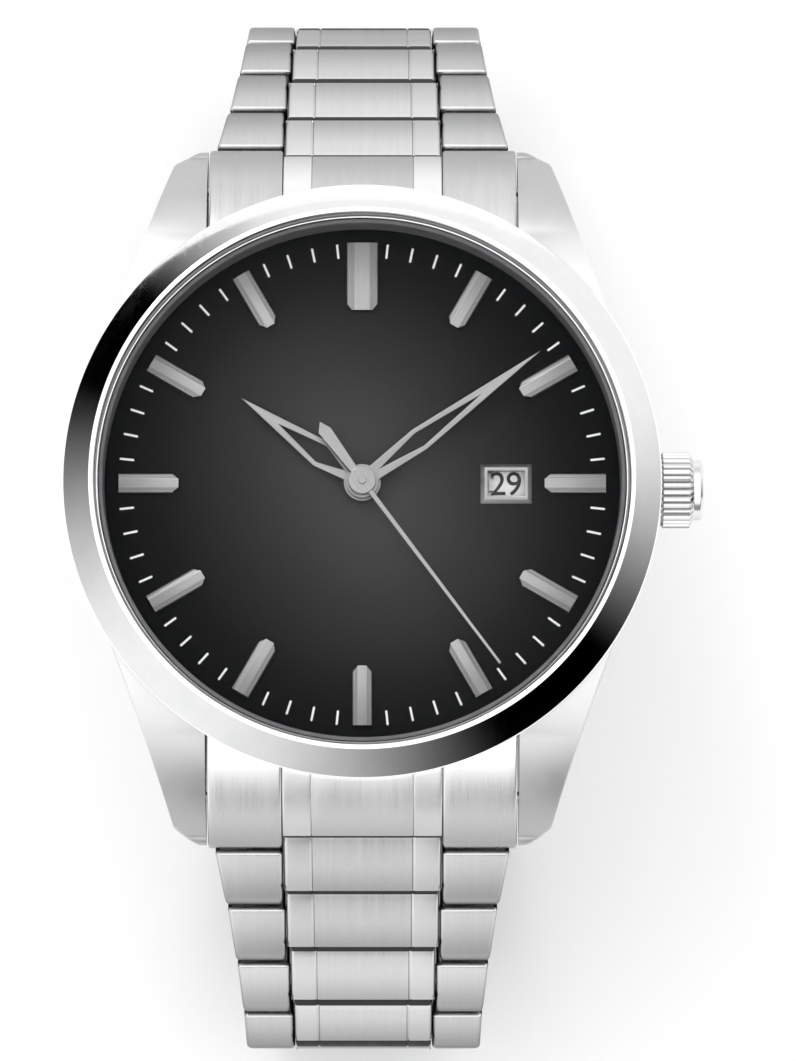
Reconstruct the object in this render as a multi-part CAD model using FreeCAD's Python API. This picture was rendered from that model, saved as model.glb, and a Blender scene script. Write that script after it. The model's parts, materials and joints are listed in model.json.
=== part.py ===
"""Automatic wristwatch on a three-piece-link steel bracelet, closed round a wrist.

Frame, in millimetres: the dial faces +Z, twelve o'clock is +Y and the crown is +X.
The origin is the centre of the case back's flat ring, which lies on z = 0.
"""
import FreeCAD, Part
import os
from math import acos, atan2, cos, degrees, radians, sin, sqrt

from FreeCAD import Matrix, Vector

os.makedirs("parts", exist_ok=True)

# ---- Driving dimensions -------------------------------------------------------------------
CASE_DIAMETER = 42.0          # across the bezel
LUG_WIDTH = 22.0              # between the inner faces of a pair of lugs
BEZEL_TOP = 10.8              # bezel's inner edge above the case back
CROWN_LEVEL = 4.0             # axis of the crown and the winding stem
DIAL_TOP = 7.2
MOVEMENT_RADIUS = 12.9

LINK_PITCH = 5.7              # hinge to hinge along the bracelet
LINK_THICKNESS = 3.0
LINK_ANGLES = [51, 51, 55, 67, 94, 125, 150, 172]      # below the horizontal
LINK_WIDTHS = [21.1, 19.4, 18.1, 17.2, 16.9, 16.7, 16.6, 16.6, 16.6]
CENTRE_WIDTHS = [11.1, 10.8, 10.3, 9.9, 9.8, 9.7, 9.7, 9.7, 9.6]
FIRST_HINGE = (23.5, 0.3)     # Y and Z of the hinge between an end link and link 1

FIT = 0.06                    # running clearance of pins and tubes
GAP = 0.12                    # gap between neighbouring links

# Case
BEZEL_RADIUS = CASE_DIAMETER / 2
BEZEL_SEAT = 8.8
CASE_RADIUS = 20.6
CASE_BORE = 18.7
CASE_FOOT = 1.25
LUG_FACE = LUG_WIDTH / 2
SPRING_BAR = (21.6, 2.7)      # Y and Z of the spring bar between a pair of lugs

# Dial and hands
MARKER_OUTER = 17.1
MARKER_INNER = 12.9
DATE_X = 10.1
HAND_ANGLES = {"hour": 305.2, "minute": 53.5, "second": 143.2}   # clockwise from twelve
HAND_LEVELS = {"hour": 7.8, "minute": 8.35, "second": 8.95}
HAND_THICKNESS = 0.15

# Gear train
THIRD_DISTANCE = 4.9          # third wheel from the centre and from the great wheel
GREAT_REACH = 5.4             # great wheel from the centre
TRAIN_MODULE = 2 * THIRD_DISTANCE / (80 + 10)
SECOND_MODULE = 2 * THIRD_DISTANCE / (75 + 10)
ESCAPE_MODULE = 0.1025
BARREL_MODULE = 0.114
MOTION_MODULE = 0.1
MOTION_DISTANCE = MOTION_MODULE * (36 + 12) / 2
HOUR_MODULE = 2 * MOTION_DISTANCE / (40 + 10)
BARREL_TEETH, GREAT_PINION = 68, 14
BARREL_REACH = 8.5            # barrel arbor from the centre
BALANCE_REACH = 8.4


def polar(radius, angle):
    """Point in plan, with the angle in degrees anticlockwise from +X."""
    return (radius * cos(radians(angle)), radius * sin(radians(angle)))


def apex_angle(side_a, side_b, opposite):
    """Angle in degrees between two sides of a triangle."""
    return degrees(acos((side_a ** 2 + side_b ** 2 - opposite ** 2) / (2 * side_a * side_b)))


CENTRE = (0.0, 0.0)
THIRD_AXIS = polar(THIRD_DISTANCE, 150)
GREAT_ANGLE = 150 - apex_angle(THIRD_DISTANCE, GREAT_REACH, THIRD_DISTANCE)
GREAT_AXIS = polar(GREAT_REACH, GREAT_ANGLE)
BARREL_MESH = BARREL_MODULE * (BARREL_TEETH + GREAT_PINION) / 2
BARREL_ANGLE = GREAT_ANGLE - apex_angle(BARREL_REACH, GREAT_REACH, BARREL_MESH)
BARREL_AXIS = polar(BARREL_REACH, BARREL_ANGLE)
ESCAPE_AXIS = polar(ESCAPE_MODULE * (84 + 7) / 2, 300)
BALANCE_AXIS = polar(BALANCE_REACH, 265)
PALLET_SHARE = 0.47           # pallet arbor along the line from escape wheel to balance
PALLET_AXIS = tuple(e + PALLET_SHARE * (b - e) for e, b in zip(ESCAPE_AXIS, BALANCE_AXIS))
MINUTE_WHEEL_AXIS = (0.0, -MOTION_DISTANCE)
TRAIN_PIVOTS = [CENTRE, THIRD_AXIS, GREAT_AXIS, BARREL_AXIS, ESCAPE_AXIS]

# Levels of the movement, from the back up
BACK_PLATE = (2.62, 3.12)
MAIN_PLATE = (4.9, 6.05)
MOTION_FLOOR = 5.5
PILLARS = [polar(11.7, angle) for angle in (28, 105, 150, 205)]
COCK_FOOT = polar(11.8, 312)

# Setting lever
LEVER_AXIS = (11.1, 3.6)      # post of the setting lever
LEVER_NOSE = (10.3, 0.46)     # its nose, in the stem's groove

# Hinges of the bracelet
HALF = LINK_THICKNESS / 2
SOCKET = HALF + GAP           # radius of the hollow round a neighbour's nose
LIP = 0.95                    # from a hinge back to the edge of the hollow
LIP_HEIGHT = sqrt(SOCKET ** 2 - LIP ** 2)
PIN = 0.5                     # radius of a hinge pin


# ---- Basic solids -------------------------------------------------------------------------
def disc(radius, low, high, centre=CENTRE):
    return Part.makeCylinder(radius, high - low, Vector(centre[0], centre[1], low))


def ring(inner, outer, low, high, centre=CENTRE):
    return disc(outer, low, high, centre).cut(disc(inner, low - 1, high + 1, centre))


def rod_x(radius, x_low, x_high, y, z):
    return Part.makeCylinder(radius, x_high - x_low, Vector(x_low, y, z), Vector(1, 0, 0))


def box(x_range, y_range, z_range):
    size = [high - low for low, high in (x_range, y_range, z_range)]
    return Part.makeBox(*size, Vector(x_range[0], y_range[0], z_range[0]))


def revolved(profile):
    """Turn a closed profile of (radius, height) points about Z."""
    points = [Vector(r, 0, z) for r, z in profile]
    face = Part.Face(Part.makePolygon(points + points[:1]))
    return face.revolve(Vector(0, 0, 0), Vector(0, 0, 1), 360)


def plan_prism(points, low, high):
    corners = [Vector(x, y, low) for x, y in points]
    return Part.Face(Part.makePolygon(corners + corners[:1])).extrude(Vector(0, 0, high - low))


def profile_wire(items):
    """Closed wire in the XZ plane: points, with ("arc", middle, end) for an arc."""
    edges = []
    start = Vector(items[0][0], 0, items[0][1])
    here = start
    for item in items[1:] + [items[0]]:
        if item[0] == "arc":
            middle = Vector(item[1][0], 0, item[1][1])
            there = Vector(item[2][0], 0, item[2][1])
            edges.append(Part.Arc(here, middle, there).toShape())
        else:
            there = Vector(item[0], 0, item[1])
            if there.distanceToPoint(here) > 1e-6:
                edges.append(Part.LineSegment(here, there).toShape())
        here = there
    return Part.Wire(edges)


def side_prism(items, half_width):
    """Extrude an XZ profile along Y, centred on y = 0."""
    face = Part.Face(profile_wire(items))
    face.translate(Vector(0, -half_width, 0))
    return face.extrude(Vector(0, 2 * half_width, 0))


def turned(shape, angle, centre=CENTRE):
    """Copy turned about a vertical axis; positive is anticlockwise seen from the dial."""
    copy = shape.copy()
    copy.rotate(Vector(centre[0], centre[1], 0), Vector(0, 0, 1), angle)
    return copy


def around(shape, count, start=0.0, centre=CENTRE):
    return [turned(shape, start + 360.0 * i / count, centre) for i in range(count)]


def fused(shapes):
    first, *others = shapes
    return first.fuse(others).removeSplitter() if others else first


def export(name, solids):
    """Write one node from a list of solids."""
    pieces = [solid for shape in solids for solid in shape.Solids]
    Part.makeCompound(pieces).exportStep("parts/" + name + ".step")


# ---- Gears --------------------------------------------------------------------------------
def gear(teeth, module, low, high, centre=CENTRE, phase=0.0, bore=0.0, spokes=0):
    """Flat wheel with slim straight-flanked teeth; phase turns it in tooth pitches."""
    pitch_radius = module * teeth / 2
    root, tip = pitch_radius - 1.25 * module, pitch_radius + 0.9 * module
    step = 360.0 / teeth
    outline = []
    for tooth in range(teeth):
        middle = (tooth + phase) * step
        for radius, share in ((root, -0.27), (tip, -0.09), (tip, 0.09), (root, 0.27)):
            outline.append(polar(radius, middle + share * step))
    wheel = plan_prism([(x + centre[0], y + centre[1]) for x, y in outline], low, high)
    if spokes:
        window = ring(1.1 + bore, root - 0.55, low - 1, high + 1, centre)
        bar = box((centre[0], centre[0] + root), (centre[1] - 0.22, centre[1] + 0.22), (low - 2, high + 2))
        wheel = wheel.cut(window.cut(around(bar, spokes, 45, centre)))
    if bore:
        wheel = wheel.cut(disc(bore, low - 1, high + 1, centre))
    return wheel


def mesh_phase(teeth, own, other, other_teeth, other_phase=0.0):
    """Phase that puts a tooth space of this gear where the other gear has a tooth."""
    toward = degrees(atan2(other[1] - own[1], other[0] - own[0]))
    other_pitch = (toward + 180) * other_teeth / 360.0 - other_phase
    return toward * teeth / 360.0 + 0.5 + (other_pitch - round(other_pitch))


def arbor(radius, low, high, centre):
    """Arbor with a thinner pivot at each end."""
    pivots = disc(radius * 0.6, low - 0.35, high + 0.35, centre)
    return disc(radius, low, high, centre).fuse(pivots)


# ---- Case ---------------------------------------------------------------------------------
def lug_profile():
    """Side view of a lug, as (Y, Z)."""
    return [(10.0, 8.7), (12.6, 8.7), ("arc", (19.9, 6.55), (24.3, 1.3)), ("arc", (24.8, 0.45), (24.35, 0.0)),
            (23.7, 0.0), ("arc", (20.3, 1.15), (16.0, 1.4)), (10.0, 1.4)]


def lug():
    """One lug, at +X +Y: a plan outline cut to the side profile."""
    outline = profile_wire([(LUG_FACE, 10.0), (17.9, 10.4), ("arc", (15.4, 17.3), (13.45, 23.2)),
                            ("arc", (13.3, 23.55), (13.0, 23.8)), ("arc", (12.3, 24.35), (11.4, 24.85)),
                            (LUG_FACE, 24.85)])
    outline.rotate(Vector(0, 0, 0), Vector(1, 0, 0), -90)
    plan = Part.Face(outline).extrude(Vector(0, 0, 10))
    plan.translate(Vector(0, 0, -1))
    side = side_prism(lug_profile(), 30)
    side.rotate(Vector(0, 0, 0), Vector(0, 0, 1), 90)
    return plan.common(side)


def mirrored_four(shape):
    """The shape and its images left to right and top to bottom."""
    left = shape.mirror(Vector(0, 0, 0), Vector(1, 0, 0))
    return [shape, left] + [s.mirror(Vector(0, 0, 0), Vector(0, 1, 0)) for s in (shape, left)]


def case_middle():
    band = revolved([(CASE_BORE, CASE_FOOT), (19.6, CASE_FOOT), (20.2, 1.9), (20.55, 3.2), (CASE_RADIUS, 5.0),
                     (CASE_RADIUS, BEZEL_SEAT), (CASE_BORE, BEZEL_SEAT)])
    case = fused([band] + [lug_half.cut(disc(CASE_BORE + 0.5, -2, 12)) for lug_half in mirrored_four(lug())])
    case = case.cut(ring(CASE_BORE - 0.1, 19.2, CASE_FOOT - 0.1, 1.7))
    stem_hole = rod_x(1.6, 15, 22, 0, CROWN_LEVEL)
    crown_pocket = rod_x(3.1, 20.05, 24, 0, CROWN_LEVEL)
    case = case.cut([stem_hole, crown_pocket])
    holes = [rod_x(0.45, -12.0, 12.0, side * SPRING_BAR[0], SPRING_BAR[1]) for side in (1, -1)]
    return case.cut(holes)


def bezel():
    return revolved([(18.5, BEZEL_SEAT), (20.9, BEZEL_SEAT), (BEZEL_RADIUS, 8.92), (BEZEL_RADIUS, 9.08),
                     (20.93, 9.2), (19.25, 10.68), (19.1, BEZEL_TOP), (18.85, BEZEL_TOP), (18.72, 10.68),
                     (18.72, 9.75), (18.5, 9.75)])


def crystal():
    return revolved([(0, 9.8), (18.6, 9.8), (18.6, 10.6), (18.3, 10.95), (0, 10.95)])


def gaskets():
    """Crystal, case-back and stem gaskets."""
    crystal_ring = ring(18.61, 18.71, 9.8, 10.5)
    back_ring = ring(CASE_BORE + 0.05, 19.15, CASE_FOOT + 0.02, 1.65)
    stem_rings = [rod_x(0.95, x, x + 0.4, 0, CROWN_LEVEL).cut(rod_x(0.66, x - 1, x + 1, 0, CROWN_LEVEL))
                  for x in (18.95, 19.8)]
    return [crystal_ring, back_ring] + stem_rings


def rehaut_ring():
    return revolved([(18.1, DIAL_TOP + 0.05), (CASE_BORE - 0.05, DIAL_TOP + 0.05), (CASE_BORE - 0.05, 8.75),
                     (18.45, 8.75), (18.45, 9.7), (18.22, 9.7), (18.16, 9.62)])


def case_back():
    """Ring that carries the glass, with six notches for a case wrench."""
    back = revolved([(13.3, 0.3), (13.9, 0.0), (18.9, 0.0), (19.3, 0.3), (19.3, 1.2), (18.62, 1.2),
                     (18.62, 2.3), (17.4, 2.3), (17.4, 1.7), (14.05, 1.7), (14.05, 0.6), (13.3, 0.6)])
    notch = box((18.4, 19.6), (-0.9, 0.9), (-0.2, 0.45))
    return back.cut(around(notch, 6, 30))


def case_back_glass():
    return revolved([(0, 0.62), (14.0, 0.62), (14.0, 1.4), (13.85, 1.5), (0, 1.5)])


def movement_ring():
    """Holder between the movement and the case, bored for the winding stem."""
    holder = revolved([(13.05, 3.2), (18.6, 3.2), (18.6, 6.7), (16.9, 6.7), (16.9, 6.2), (13.05, 6.2)])
    return holder.cut(rod_x(1.25, 12, 20, 0, CROWN_LEVEL))


def crown_tube():
    tube = rod_x(1.58, 18.75, 20.1, 0, CROWN_LEVEL)
    neck = rod_x(1.25, 20.0, 21.7, 0, CROWN_LEVEL)
    bore = rod_x(0.97, 18.9, 20.3, 0, CROWN_LEVEL).fuse(rod_x(0.66, 17, 23, 0, CROWN_LEVEL))
    return tube.fuse(neck).cut(bore)


def spring_bars():
    bars = []
    for side in (1, -1):
        y, z = side * SPRING_BAR[0], SPRING_BAR[1]
        bars.append(fused([rod_x(0.38, -11.8, 11.8, y, z), rod_x(0.72, -10.6, 10.6, y, z)]))
    return bars


# ---- Dial ---------------------------------------------------------------------------------
def dial():
    plate = disc(18.6, DIAL_TOP - 0.4, DIAL_TOP)
    window = box((DATE_X - 1.35, DATE_X + 1.35), (-0.93, 0.93), (6, 8))
    feet = [disc(0.4, 6.3, DIAL_TOP - 0.4, polar(15.2, angle)) for angle in (110, 290)]
    return fused([plate] + feet).cut([window, disc(1.0, 6, 8)])


def baton(inner, outer, width):
    """Raised hour baton along +Y with bevelled long sides and a chamfered inner end."""
    half = width / 2
    body = plan_prism([(-half, outer), (-half, inner + 0.45), (-half + 0.35, inner), (half - 0.35, inner),
                       (half, inner + 0.45), (half, outer)], DIAL_TOP, DIAL_TOP + 0.55)
    roof = [(-half, 0), (half, 0), (half, 0.36), (half * 0.5, 0.56), (-half * 0.5, 0.56), (-half, 0.36)]
    ridge = plan_prism(roof, 0, outer - inner + 2)
    ridge.rotate(Vector(0, 0, 0), Vector(1, 0, 0), 90)
    ridge.translate(Vector(0, outer + 0.5, DIAL_TOP))
    return body.common(ridge)


def hour_markers():
    """Twelve batons: a double-width one at twelve, a short one beside the date at three."""
    batons = []
    for hour in range(12):
        if hour == 0:
            piece = baton(12.3, MARKER_OUTER, 2.16)
        elif hour == 3:
            piece = baton(12.8, MARKER_OUTER, 1.4)
        else:
            piece = baton(MARKER_INNER, MARKER_OUTER, 1.3)
        batons.append(turned(piece, -30 * hour))
    return batons


def date_frame():
    """Bevelled rectangular frame round the date window."""
    rectangles = []
    for half_x, half_y, level in ((1.82, 1.43, DIAL_TOP), (1.5, 1.11, DIAL_TOP + 0.3)):
        corners = [Vector(a * half_x, b * half_y, level) for a, b in ((-1, -1), (1, -1), (1, 1), (-1, 1))]
        rectangles.append(Part.makePolygon(corners + corners[:1]))
    frame = Part.makeLoft(rectangles, True, True)
    frame.translate(Vector(DATE_X, 0, 0))
    return frame.cut(box((DATE_X - 1.3, DATE_X + 1.3), (-0.9, 0.9), (6, 9)))


# ---- Hands --------------------------------------------------------------------------------
def open_hand(length, half_width, widest, slot_start, slot_end, hub, rim, low):
    """Openworked dauphine hand along +Y."""
    root = hub * 0.8
    outline = [(-0.55, root), (-half_width, widest), (0, length), (half_width, widest), (0.55, root)]
    inner = half_width - rim
    slot = [(0, slot_start), (-inner, widest), (0, slot_end), (inner, widest)]
    high = low + HAND_THICKNESS
    blade = plan_prism(outline, low, high).cut(plan_prism(slot, low - 1, high + 1))
    return blade.fuse(disc(hub, low, high))


def hour_hand():
    low = HAND_LEVELS["hour"]
    hand = open_hand(10.4, 1.0, 3.5, 1.5, 7.2, 1.3, 0.33, low).cut(disc(0.8, low - 1, low + 1))
    return turned(hand, -HAND_ANGLES["hour"])


def minute_hand():
    low = HAND_LEVELS["minute"]
    hand = open_hand(15.6, 0.85, 5.0, 1.5, 10.4, 1.15, 0.3, low).cut(disc(0.42, low - 1, low + 1))
    return turned(hand, -HAND_ANGLES["minute"])


def seconds_hand():
    low = HAND_LEVELS["second"]
    high = low + HAND_THICKNESS
    needle = plan_prism([(-0.17, 0), (-0.09, 16.1), (0.09, 16.1), (0.17, 0)], low, high)
    tail = plan_prism([(-0.22, 0), (-0.46, -4.3), (-0.1, -5.1), (0.46, -4.5), (0.22, 0)], low, high)
    hub = disc(0.95, low, high + 0.12).fuse(disc(0.28, low, high + 0.3))
    hand = fused([needle, tail, hub]).cut(disc(0.12, low - 1, high + 0.1))
    return turned(hand, -HAND_ANGLES["second"])


# ---- Movement -----------------------------------------------------------------------------
def main_plate():
    """Plate that carries everything, with pillars toward the back and a recess for the motion work."""
    low, high = MAIN_PLATE
    plate = disc(MOVEMENT_RADIUS, low, high)
    cuts = [disc(2.35, MOTION_FLOOR, 7), disc(2.2, MOTION_FLOOR, 7, MINUTE_WHEEL_AXIS), disc(0.5, 4, 7)]
    cuts += [disc(0.12, low - 1, high - 0.3, spot) for spot in TRAIN_PIVOTS[1:] + [BALANCE_AXIS, PALLET_AXIS]]
    cuts += [box((11.3, 13.2), (-1.6, 1.6), (low - 1, 5.5))]
    stud = disc(0.2, MOTION_FLOOR, 6.4, MINUTE_WHEEL_AXIS)
    lever_post = disc(0.3, 4.2, low, LEVER_AXIS)
    pillars = [disc(0.8, BACK_PLATE[1], low, spot) for spot in PILLARS + [COCK_FOOT]]
    plate = fused([plate.cut(cuts), stud, lever_post] + pillars)
    return plate.cut([disc(0.3, 2, 4.6, spot) for spot in PILLARS + [COCK_FOOT]])


def cock_outline(grow, low, high):
    """Arm from its foot at the movement's edge to a round boss over the balance staff."""
    across = Vector(BALANCE_AXIS[0] - COCK_FOOT[0], BALANCE_AXIS[1] - COCK_FOOT[1], 0)
    side = Vector(-across.y, across.x, 0).normalize() * (0.85 + grow)
    corners = [(spot[0] + sign * side.x, spot[1] + sign * side.y)
               for spot, sign in ((COCK_FOOT, 1), (COCK_FOOT, -1), (BALANCE_AXIS, -1), (BALANCE_AXIS, 1))]
    return fused([plan_prism(corners, low, high), disc(1.1 + grow, low, high, COCK_FOOT),
                  disc(1.35 + grow, low, high, BALANCE_AXIS)])


def three_quarter_plate():
    """Plate that carries the back pivots of the train, open over the balance."""
    low, high = BACK_PLATE
    plate = disc(12.6, low, high)
    toward_edge = plan_prism([BALANCE_AXIS, polar(17, 240), polar(17, 322)], 2, 4)
    cuts = [disc(4.5, 2, 4, BALANCE_AXIS), toward_edge, cock_outline(0.15, 2, 4), disc(0.18, 2, 4)]
    cuts += [disc(0.12, 2, 4, spot) for spot in TRAIN_PIVOTS[1:]]
    cuts += [disc(0.3, 2, 4, spot) for spot in PILLARS] + [disc(0.72, 2, 2.75, spot) for spot in PILLARS]
    cuts += [box((11.3, 13.2), (-1.6, 1.6), (2, 4))]
    return plate.cut(cuts)


def balance_cock():
    return cock_outline(0, *BACK_PLATE).cut([disc(0.12, 2, 4, BALANCE_AXIS), disc(0.3, 2, 4, COCK_FOOT),
                                             disc(0.72, 2, 2.75, COCK_FOOT)])


def pallet_bridge():
    """Bar on two feet under the main plate, with the pallet arbor's back bearing."""
    low, high = 3.86, 4.06
    feet = [(-1.6, -5.6), (3.3, -7.2)]
    across = Vector(feet[1][0] - feet[0][0], feet[1][1] - feet[0][1], 0)
    side = Vector(-across.y, across.x, 0).normalize() * 0.4
    corners = [(spot[0] + sign * side.x, spot[1] + sign * side.y)
               for spot, sign in ((feet[0], 1), (feet[0], -1), (feet[1], -1), (feet[1], 1))]
    bar = [plan_prism(corners, low, high), disc(0.55, low, high, PALLET_AXIS)]
    posts = [disc(0.5, low, MAIN_PLATE[0], foot) for foot in feet]
    return fused(bar + posts).cut(disc(0.12, 3, 5, PALLET_AXIS))


def movement_screws():
    """Slotted screws of the plate and cock."""
    screws = []
    for spot in PILLARS + [COCK_FOOT]:
        screw = disc(0.68, 2.5, 2.75, spot).fuse(disc(0.27, 2.7, 4.4, spot))
        slot = box((spot[0] - 0.8, spot[0] + 0.8), (spot[1] - 0.08, spot[1] + 0.08), (2.4, 2.6))
        screws.append(screw.cut(turned(slot, 35, spot)))
    return screws


def jewels():
    """Jewel bearings: a ring round each back pivot, flush in the plate's back face."""
    low = BACK_PLATE[0] - 0.12
    return [ring(0.19, 0.45, low, BACK_PLATE[0], spot) for spot in TRAIN_PIVOTS + [BALANCE_AXIS]]


def barrel():
    """Mainspring barrel: toothed drum, closed, on its arbor."""
    drum = disc(3.55, 3.22, 4.1, BARREL_AXIS)
    phase = mesh_phase(BARREL_TEETH, BARREL_AXIS, GREAT_AXIS, GREAT_PINION)
    teeth = gear(BARREL_TEETH, BARREL_MODULE, 3.85, 4.05, BARREL_AXIS, phase)
    return fused([drum, teeth, disc(0.1, 2.75, 5.2, BARREL_AXIS)])


def great_wheel():
    """Wheel driven by the barrel, carrying the drive to the third wheel's pinion."""
    wheel = gear(80, TRAIN_MODULE, 4.2, 4.38, GREAT_AXIS, mesh_phase(80, GREAT_AXIS, THIRD_AXIS, 10), 0, 4)
    pinion = gear(GREAT_PINION, BARREL_MODULE, 3.82, 4.1, GREAT_AXIS)
    return fused([wheel, pinion, arbor(0.18, 3.2, 4.8, GREAT_AXIS)])


def third_wheel():
    """Wheel between the great wheel, the centre wheel and the seconds pinion."""
    wheel = gear(75, SECOND_MODULE, 3.48, 3.64, THIRD_AXIS, mesh_phase(75, THIRD_AXIS, CENTRE, 10), 0, 4)
    pinion = gear(10, TRAIN_MODULE, 4.15, 4.78, THIRD_AXIS)
    return fused([wheel, pinion, arbor(0.18, 3.2, 4.8, THIRD_AXIS)])


def fourth_wheel():
    """Seconds wheel, with the long arbor that carries the seconds hand."""
    wheel = gear(84, ESCAPE_MODULE, 3.84, 4.0, CENTRE, mesh_phase(84, CENTRE, ESCAPE_AXIS, 7), 0, 4)
    pinion = gear(10, SECOND_MODULE, 3.36, 3.76, CENTRE)
    staff = disc(0.12, 2.75, HAND_LEVELS["second"] + 0.1)
    return fused([wheel, pinion, disc(0.18, 3.2, 4.4), staff])


def centre_wheel():
    """Centre wheel and cannon pinion, whose tube carries the minute hand."""
    wheel = gear(80, TRAIN_MODULE, 4.52, 4.7, CENTRE, mesh_phase(80, CENTRE, THIRD_AXIS, 10), 0.2, 4)
    cannon = gear(12, MOTION_MODULE, 5.55, 5.95, CENTRE, mesh_phase(12, CENTRE, MINUTE_WHEEL_AXIS, 36), 0.2)
    tube = ring(0.2, 0.42, 4.52, HAND_LEVELS["minute"] + HAND_THICKNESS)
    return fused([wheel, cannon, tube])


def minute_wheel():
    """Intermediate wheel that takes the cannon pinion down to the hour wheel."""
    axis = MINUTE_WHEEL_AXIS
    wheel = gear(36, MOTION_MODULE, 5.58, 5.74, axis, 0, 0.26)
    pinion = gear(10, HOUR_MODULE, 5.74, 6.35, axis, 0, 0.26)
    return fused([wheel, pinion])


def hour_wheel():
    """Wheel over the cannon pinion, whose tube carries the hour hand."""
    phase = mesh_phase(40, CENTRE, MINUTE_WHEEL_AXIS, 10)
    wheel = gear(40, HOUR_MODULE, 6.12, 6.3, CENTRE, phase, 0.5)
    return fused([wheel, ring(0.5, 0.8, 6.0, HAND_LEVELS["hour"] + HAND_THICKNESS)])


def escape_wheel():
    """Twenty-tooth club wheel on its pinion."""
    axis = ESCAPE_AXIS
    outline = []
    for tooth in range(20):
        for radius, share in ((1.45, 0.0), (1.9, 0.42), (1.95, 0.6), (1.5, 0.5)):
            outline.append(polar(radius, (tooth + share) * 18.0))
    wheel = plan_prism([(x + axis[0], y + axis[1]) for x, y in outline], 4.3, 4.42)
    spoke = box((axis[0], axis[0] + 2), (axis[1] - 0.1, axis[1] + 0.1), (3, 6))
    wheel = wheel.cut(ring(0.5, 1.2, 4, 5, axis).cut(around(spoke, 4, 10, axis)))
    pinion = gear(7, ESCAPE_MODULE, 3.76, 4.08, axis)
    return fused([wheel, pinion, arbor(0.11, 3.3, 4.8, axis)])


def pallet_fork():
    """Lever with two pallet arms beside the escape wheel and a fork toward the balance."""
    axis = PALLET_AXIS
    toward = degrees(atan2(BALANCE_AXIS[1] - axis[1], BALANCE_AXIS[0] - axis[0]))
    x, y = axis
    low, high = 4.28, 4.44
    lever = box((x - 0.12, x + 1.55), (y - 0.13, y + 0.13), (low, high))
    fork = box((x + 1.35, x + 2.1), (y - 0.36, y + 0.36), (low, high))
    fork = fork.cut(box((x + 1.65, x + 2.3), (y - 0.2, y + 0.2), (4, 5)))
    corners = [(x - 0.2, y - 1.3), (x + 0.2, y - 1.3), (x + 0.25, y + 1.3), (x - 0.2, y + 1.3)]
    arms = plan_prism(corners, low, high)
    arbor_rod = disc(0.1, 3.9, 5.3, axis)
    return turned(fused([lever, fork, arms, arbor_rod]), toward, axis)


def balance_wheel():
    """Rim on one cross bar, with the roller and its impulse pin."""
    axis = BALANCE_AXIS
    rim = ring(3.5, 3.95, 3.42, 3.72, axis)
    bar = box((axis[0] - 3.6, axis[0] + 3.6), (axis[1] - 0.18, axis[1] + 0.18), (3.46, 3.62))
    roller = disc(0.6, 4.1, 4.22, axis)
    toward = degrees(atan2(PALLET_AXIS[1] - axis[1], PALLET_AXIS[0] - axis[0]))
    pin_spot = (axis[0] + polar(0.46, toward)[0], axis[1] + polar(0.46, toward)[1])
    impulse_pin = disc(0.07, 4.15, 4.5, pin_spot)
    collet = disc(0.42, 3.2, 3.4, axis)
    return fused([rim, turned(bar, 25, axis), roller, impulse_pin, collet, arbor(0.14, 3.2, 4.8, axis)])


def hairspring():
    """Flat spiral, as one strip of constant width."""
    inner, turns, lead, width = 0.5, 5, 0.42, 0.1
    steps = 20 * turns
    path = [(inner + lead * i / 20.0, 360.0 * i / 20.0) for i in range(steps + 1)]
    outside = [polar(r + width, angle) for r, angle in path]
    inside = [polar(r, angle) for r, angle in reversed(path)]
    points = [(x + BALANCE_AXIS[0], y + BALANCE_AXIS[1]) for x, y in outside + inside]
    return plan_prism(points, 3.22, 3.36)


def rotor():
    """Half-moon oscillating weight on a central ball bearing."""
    weight = ring(9.6, 12.5, 1.75, 2.38)
    web = ring(1.0, 10.2, 2.1, 2.3)
    half = box((-14, 14), (-14, 0.6), (1, 3))
    arms = around(box((0, 14), (-0.7, 0.7), (0, 4)), 6)
    openwork = ring(3.6, 8.4, 1, 3).cut([box((-14, 14), (-0.5, 14), (0, 4))] + arms)
    hub = ring(0.75, 2.4, 1.85, 2.3)
    return fused([weight.fuse(web).common(half).cut(openwork), hub])


def rotor_bearing():
    """Fixed post and screw that hold the rotor's hub."""
    post = disc(0.66, 1.8, BACK_PLATE[0] - 0.15)
    head = disc(1.15, 1.62, 1.8)
    slot = box((-1.3, 1.3), (-0.12, 0.12), (1.5, 1.7))
    return fused([post, head]).cut(slot)


def date_ring():
    """Flat ring of thirty-one days with inner teeth, seen through the dial window."""
    disc_ring = ring(8.9, 12.3, 6.2, 6.6)
    notch = ring(8.5, 9.25, 6, 7).common(plan_prism([(0, 0), polar(12, -3.2), polar(12, 3.2)], 6, 7))
    return disc_ring.cut(around(notch, 31, 5.8))


# ---- Crown and keyless work ---------------------------------------------------------------
def along_x(shape, x):
    """Stand a shape built about Z on its side, along +X, at the crown's level."""
    copy = shape.copy()
    copy.rotate(Vector(0, 0, 0), Vector(0, 1, 0), 90)
    copy.translate(Vector(x, 0, CROWN_LEVEL))
    return copy


def crown():
    """Fluted knob over the crown tube, with a plain raised cap."""
    body = revolved([(0.6, 0.9), (1.4, 0.9), (1.4, 0.0), (2.5, 0.0), (2.7, 0.18), (2.7, 2.05), (2.2, 2.3),
                     (2.14, 2.36), (2.14, 2.8), (1.98, 2.98), (1.2, 3.05), (0, 3.07), (0, 1.9), (0.6, 1.9)])
    flute = Part.makeCylinder(0.2, 2.7, Vector(2.78, 0, -0.3))
    return along_x(body.cut(around(flute, 32)), 21.0)


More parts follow.
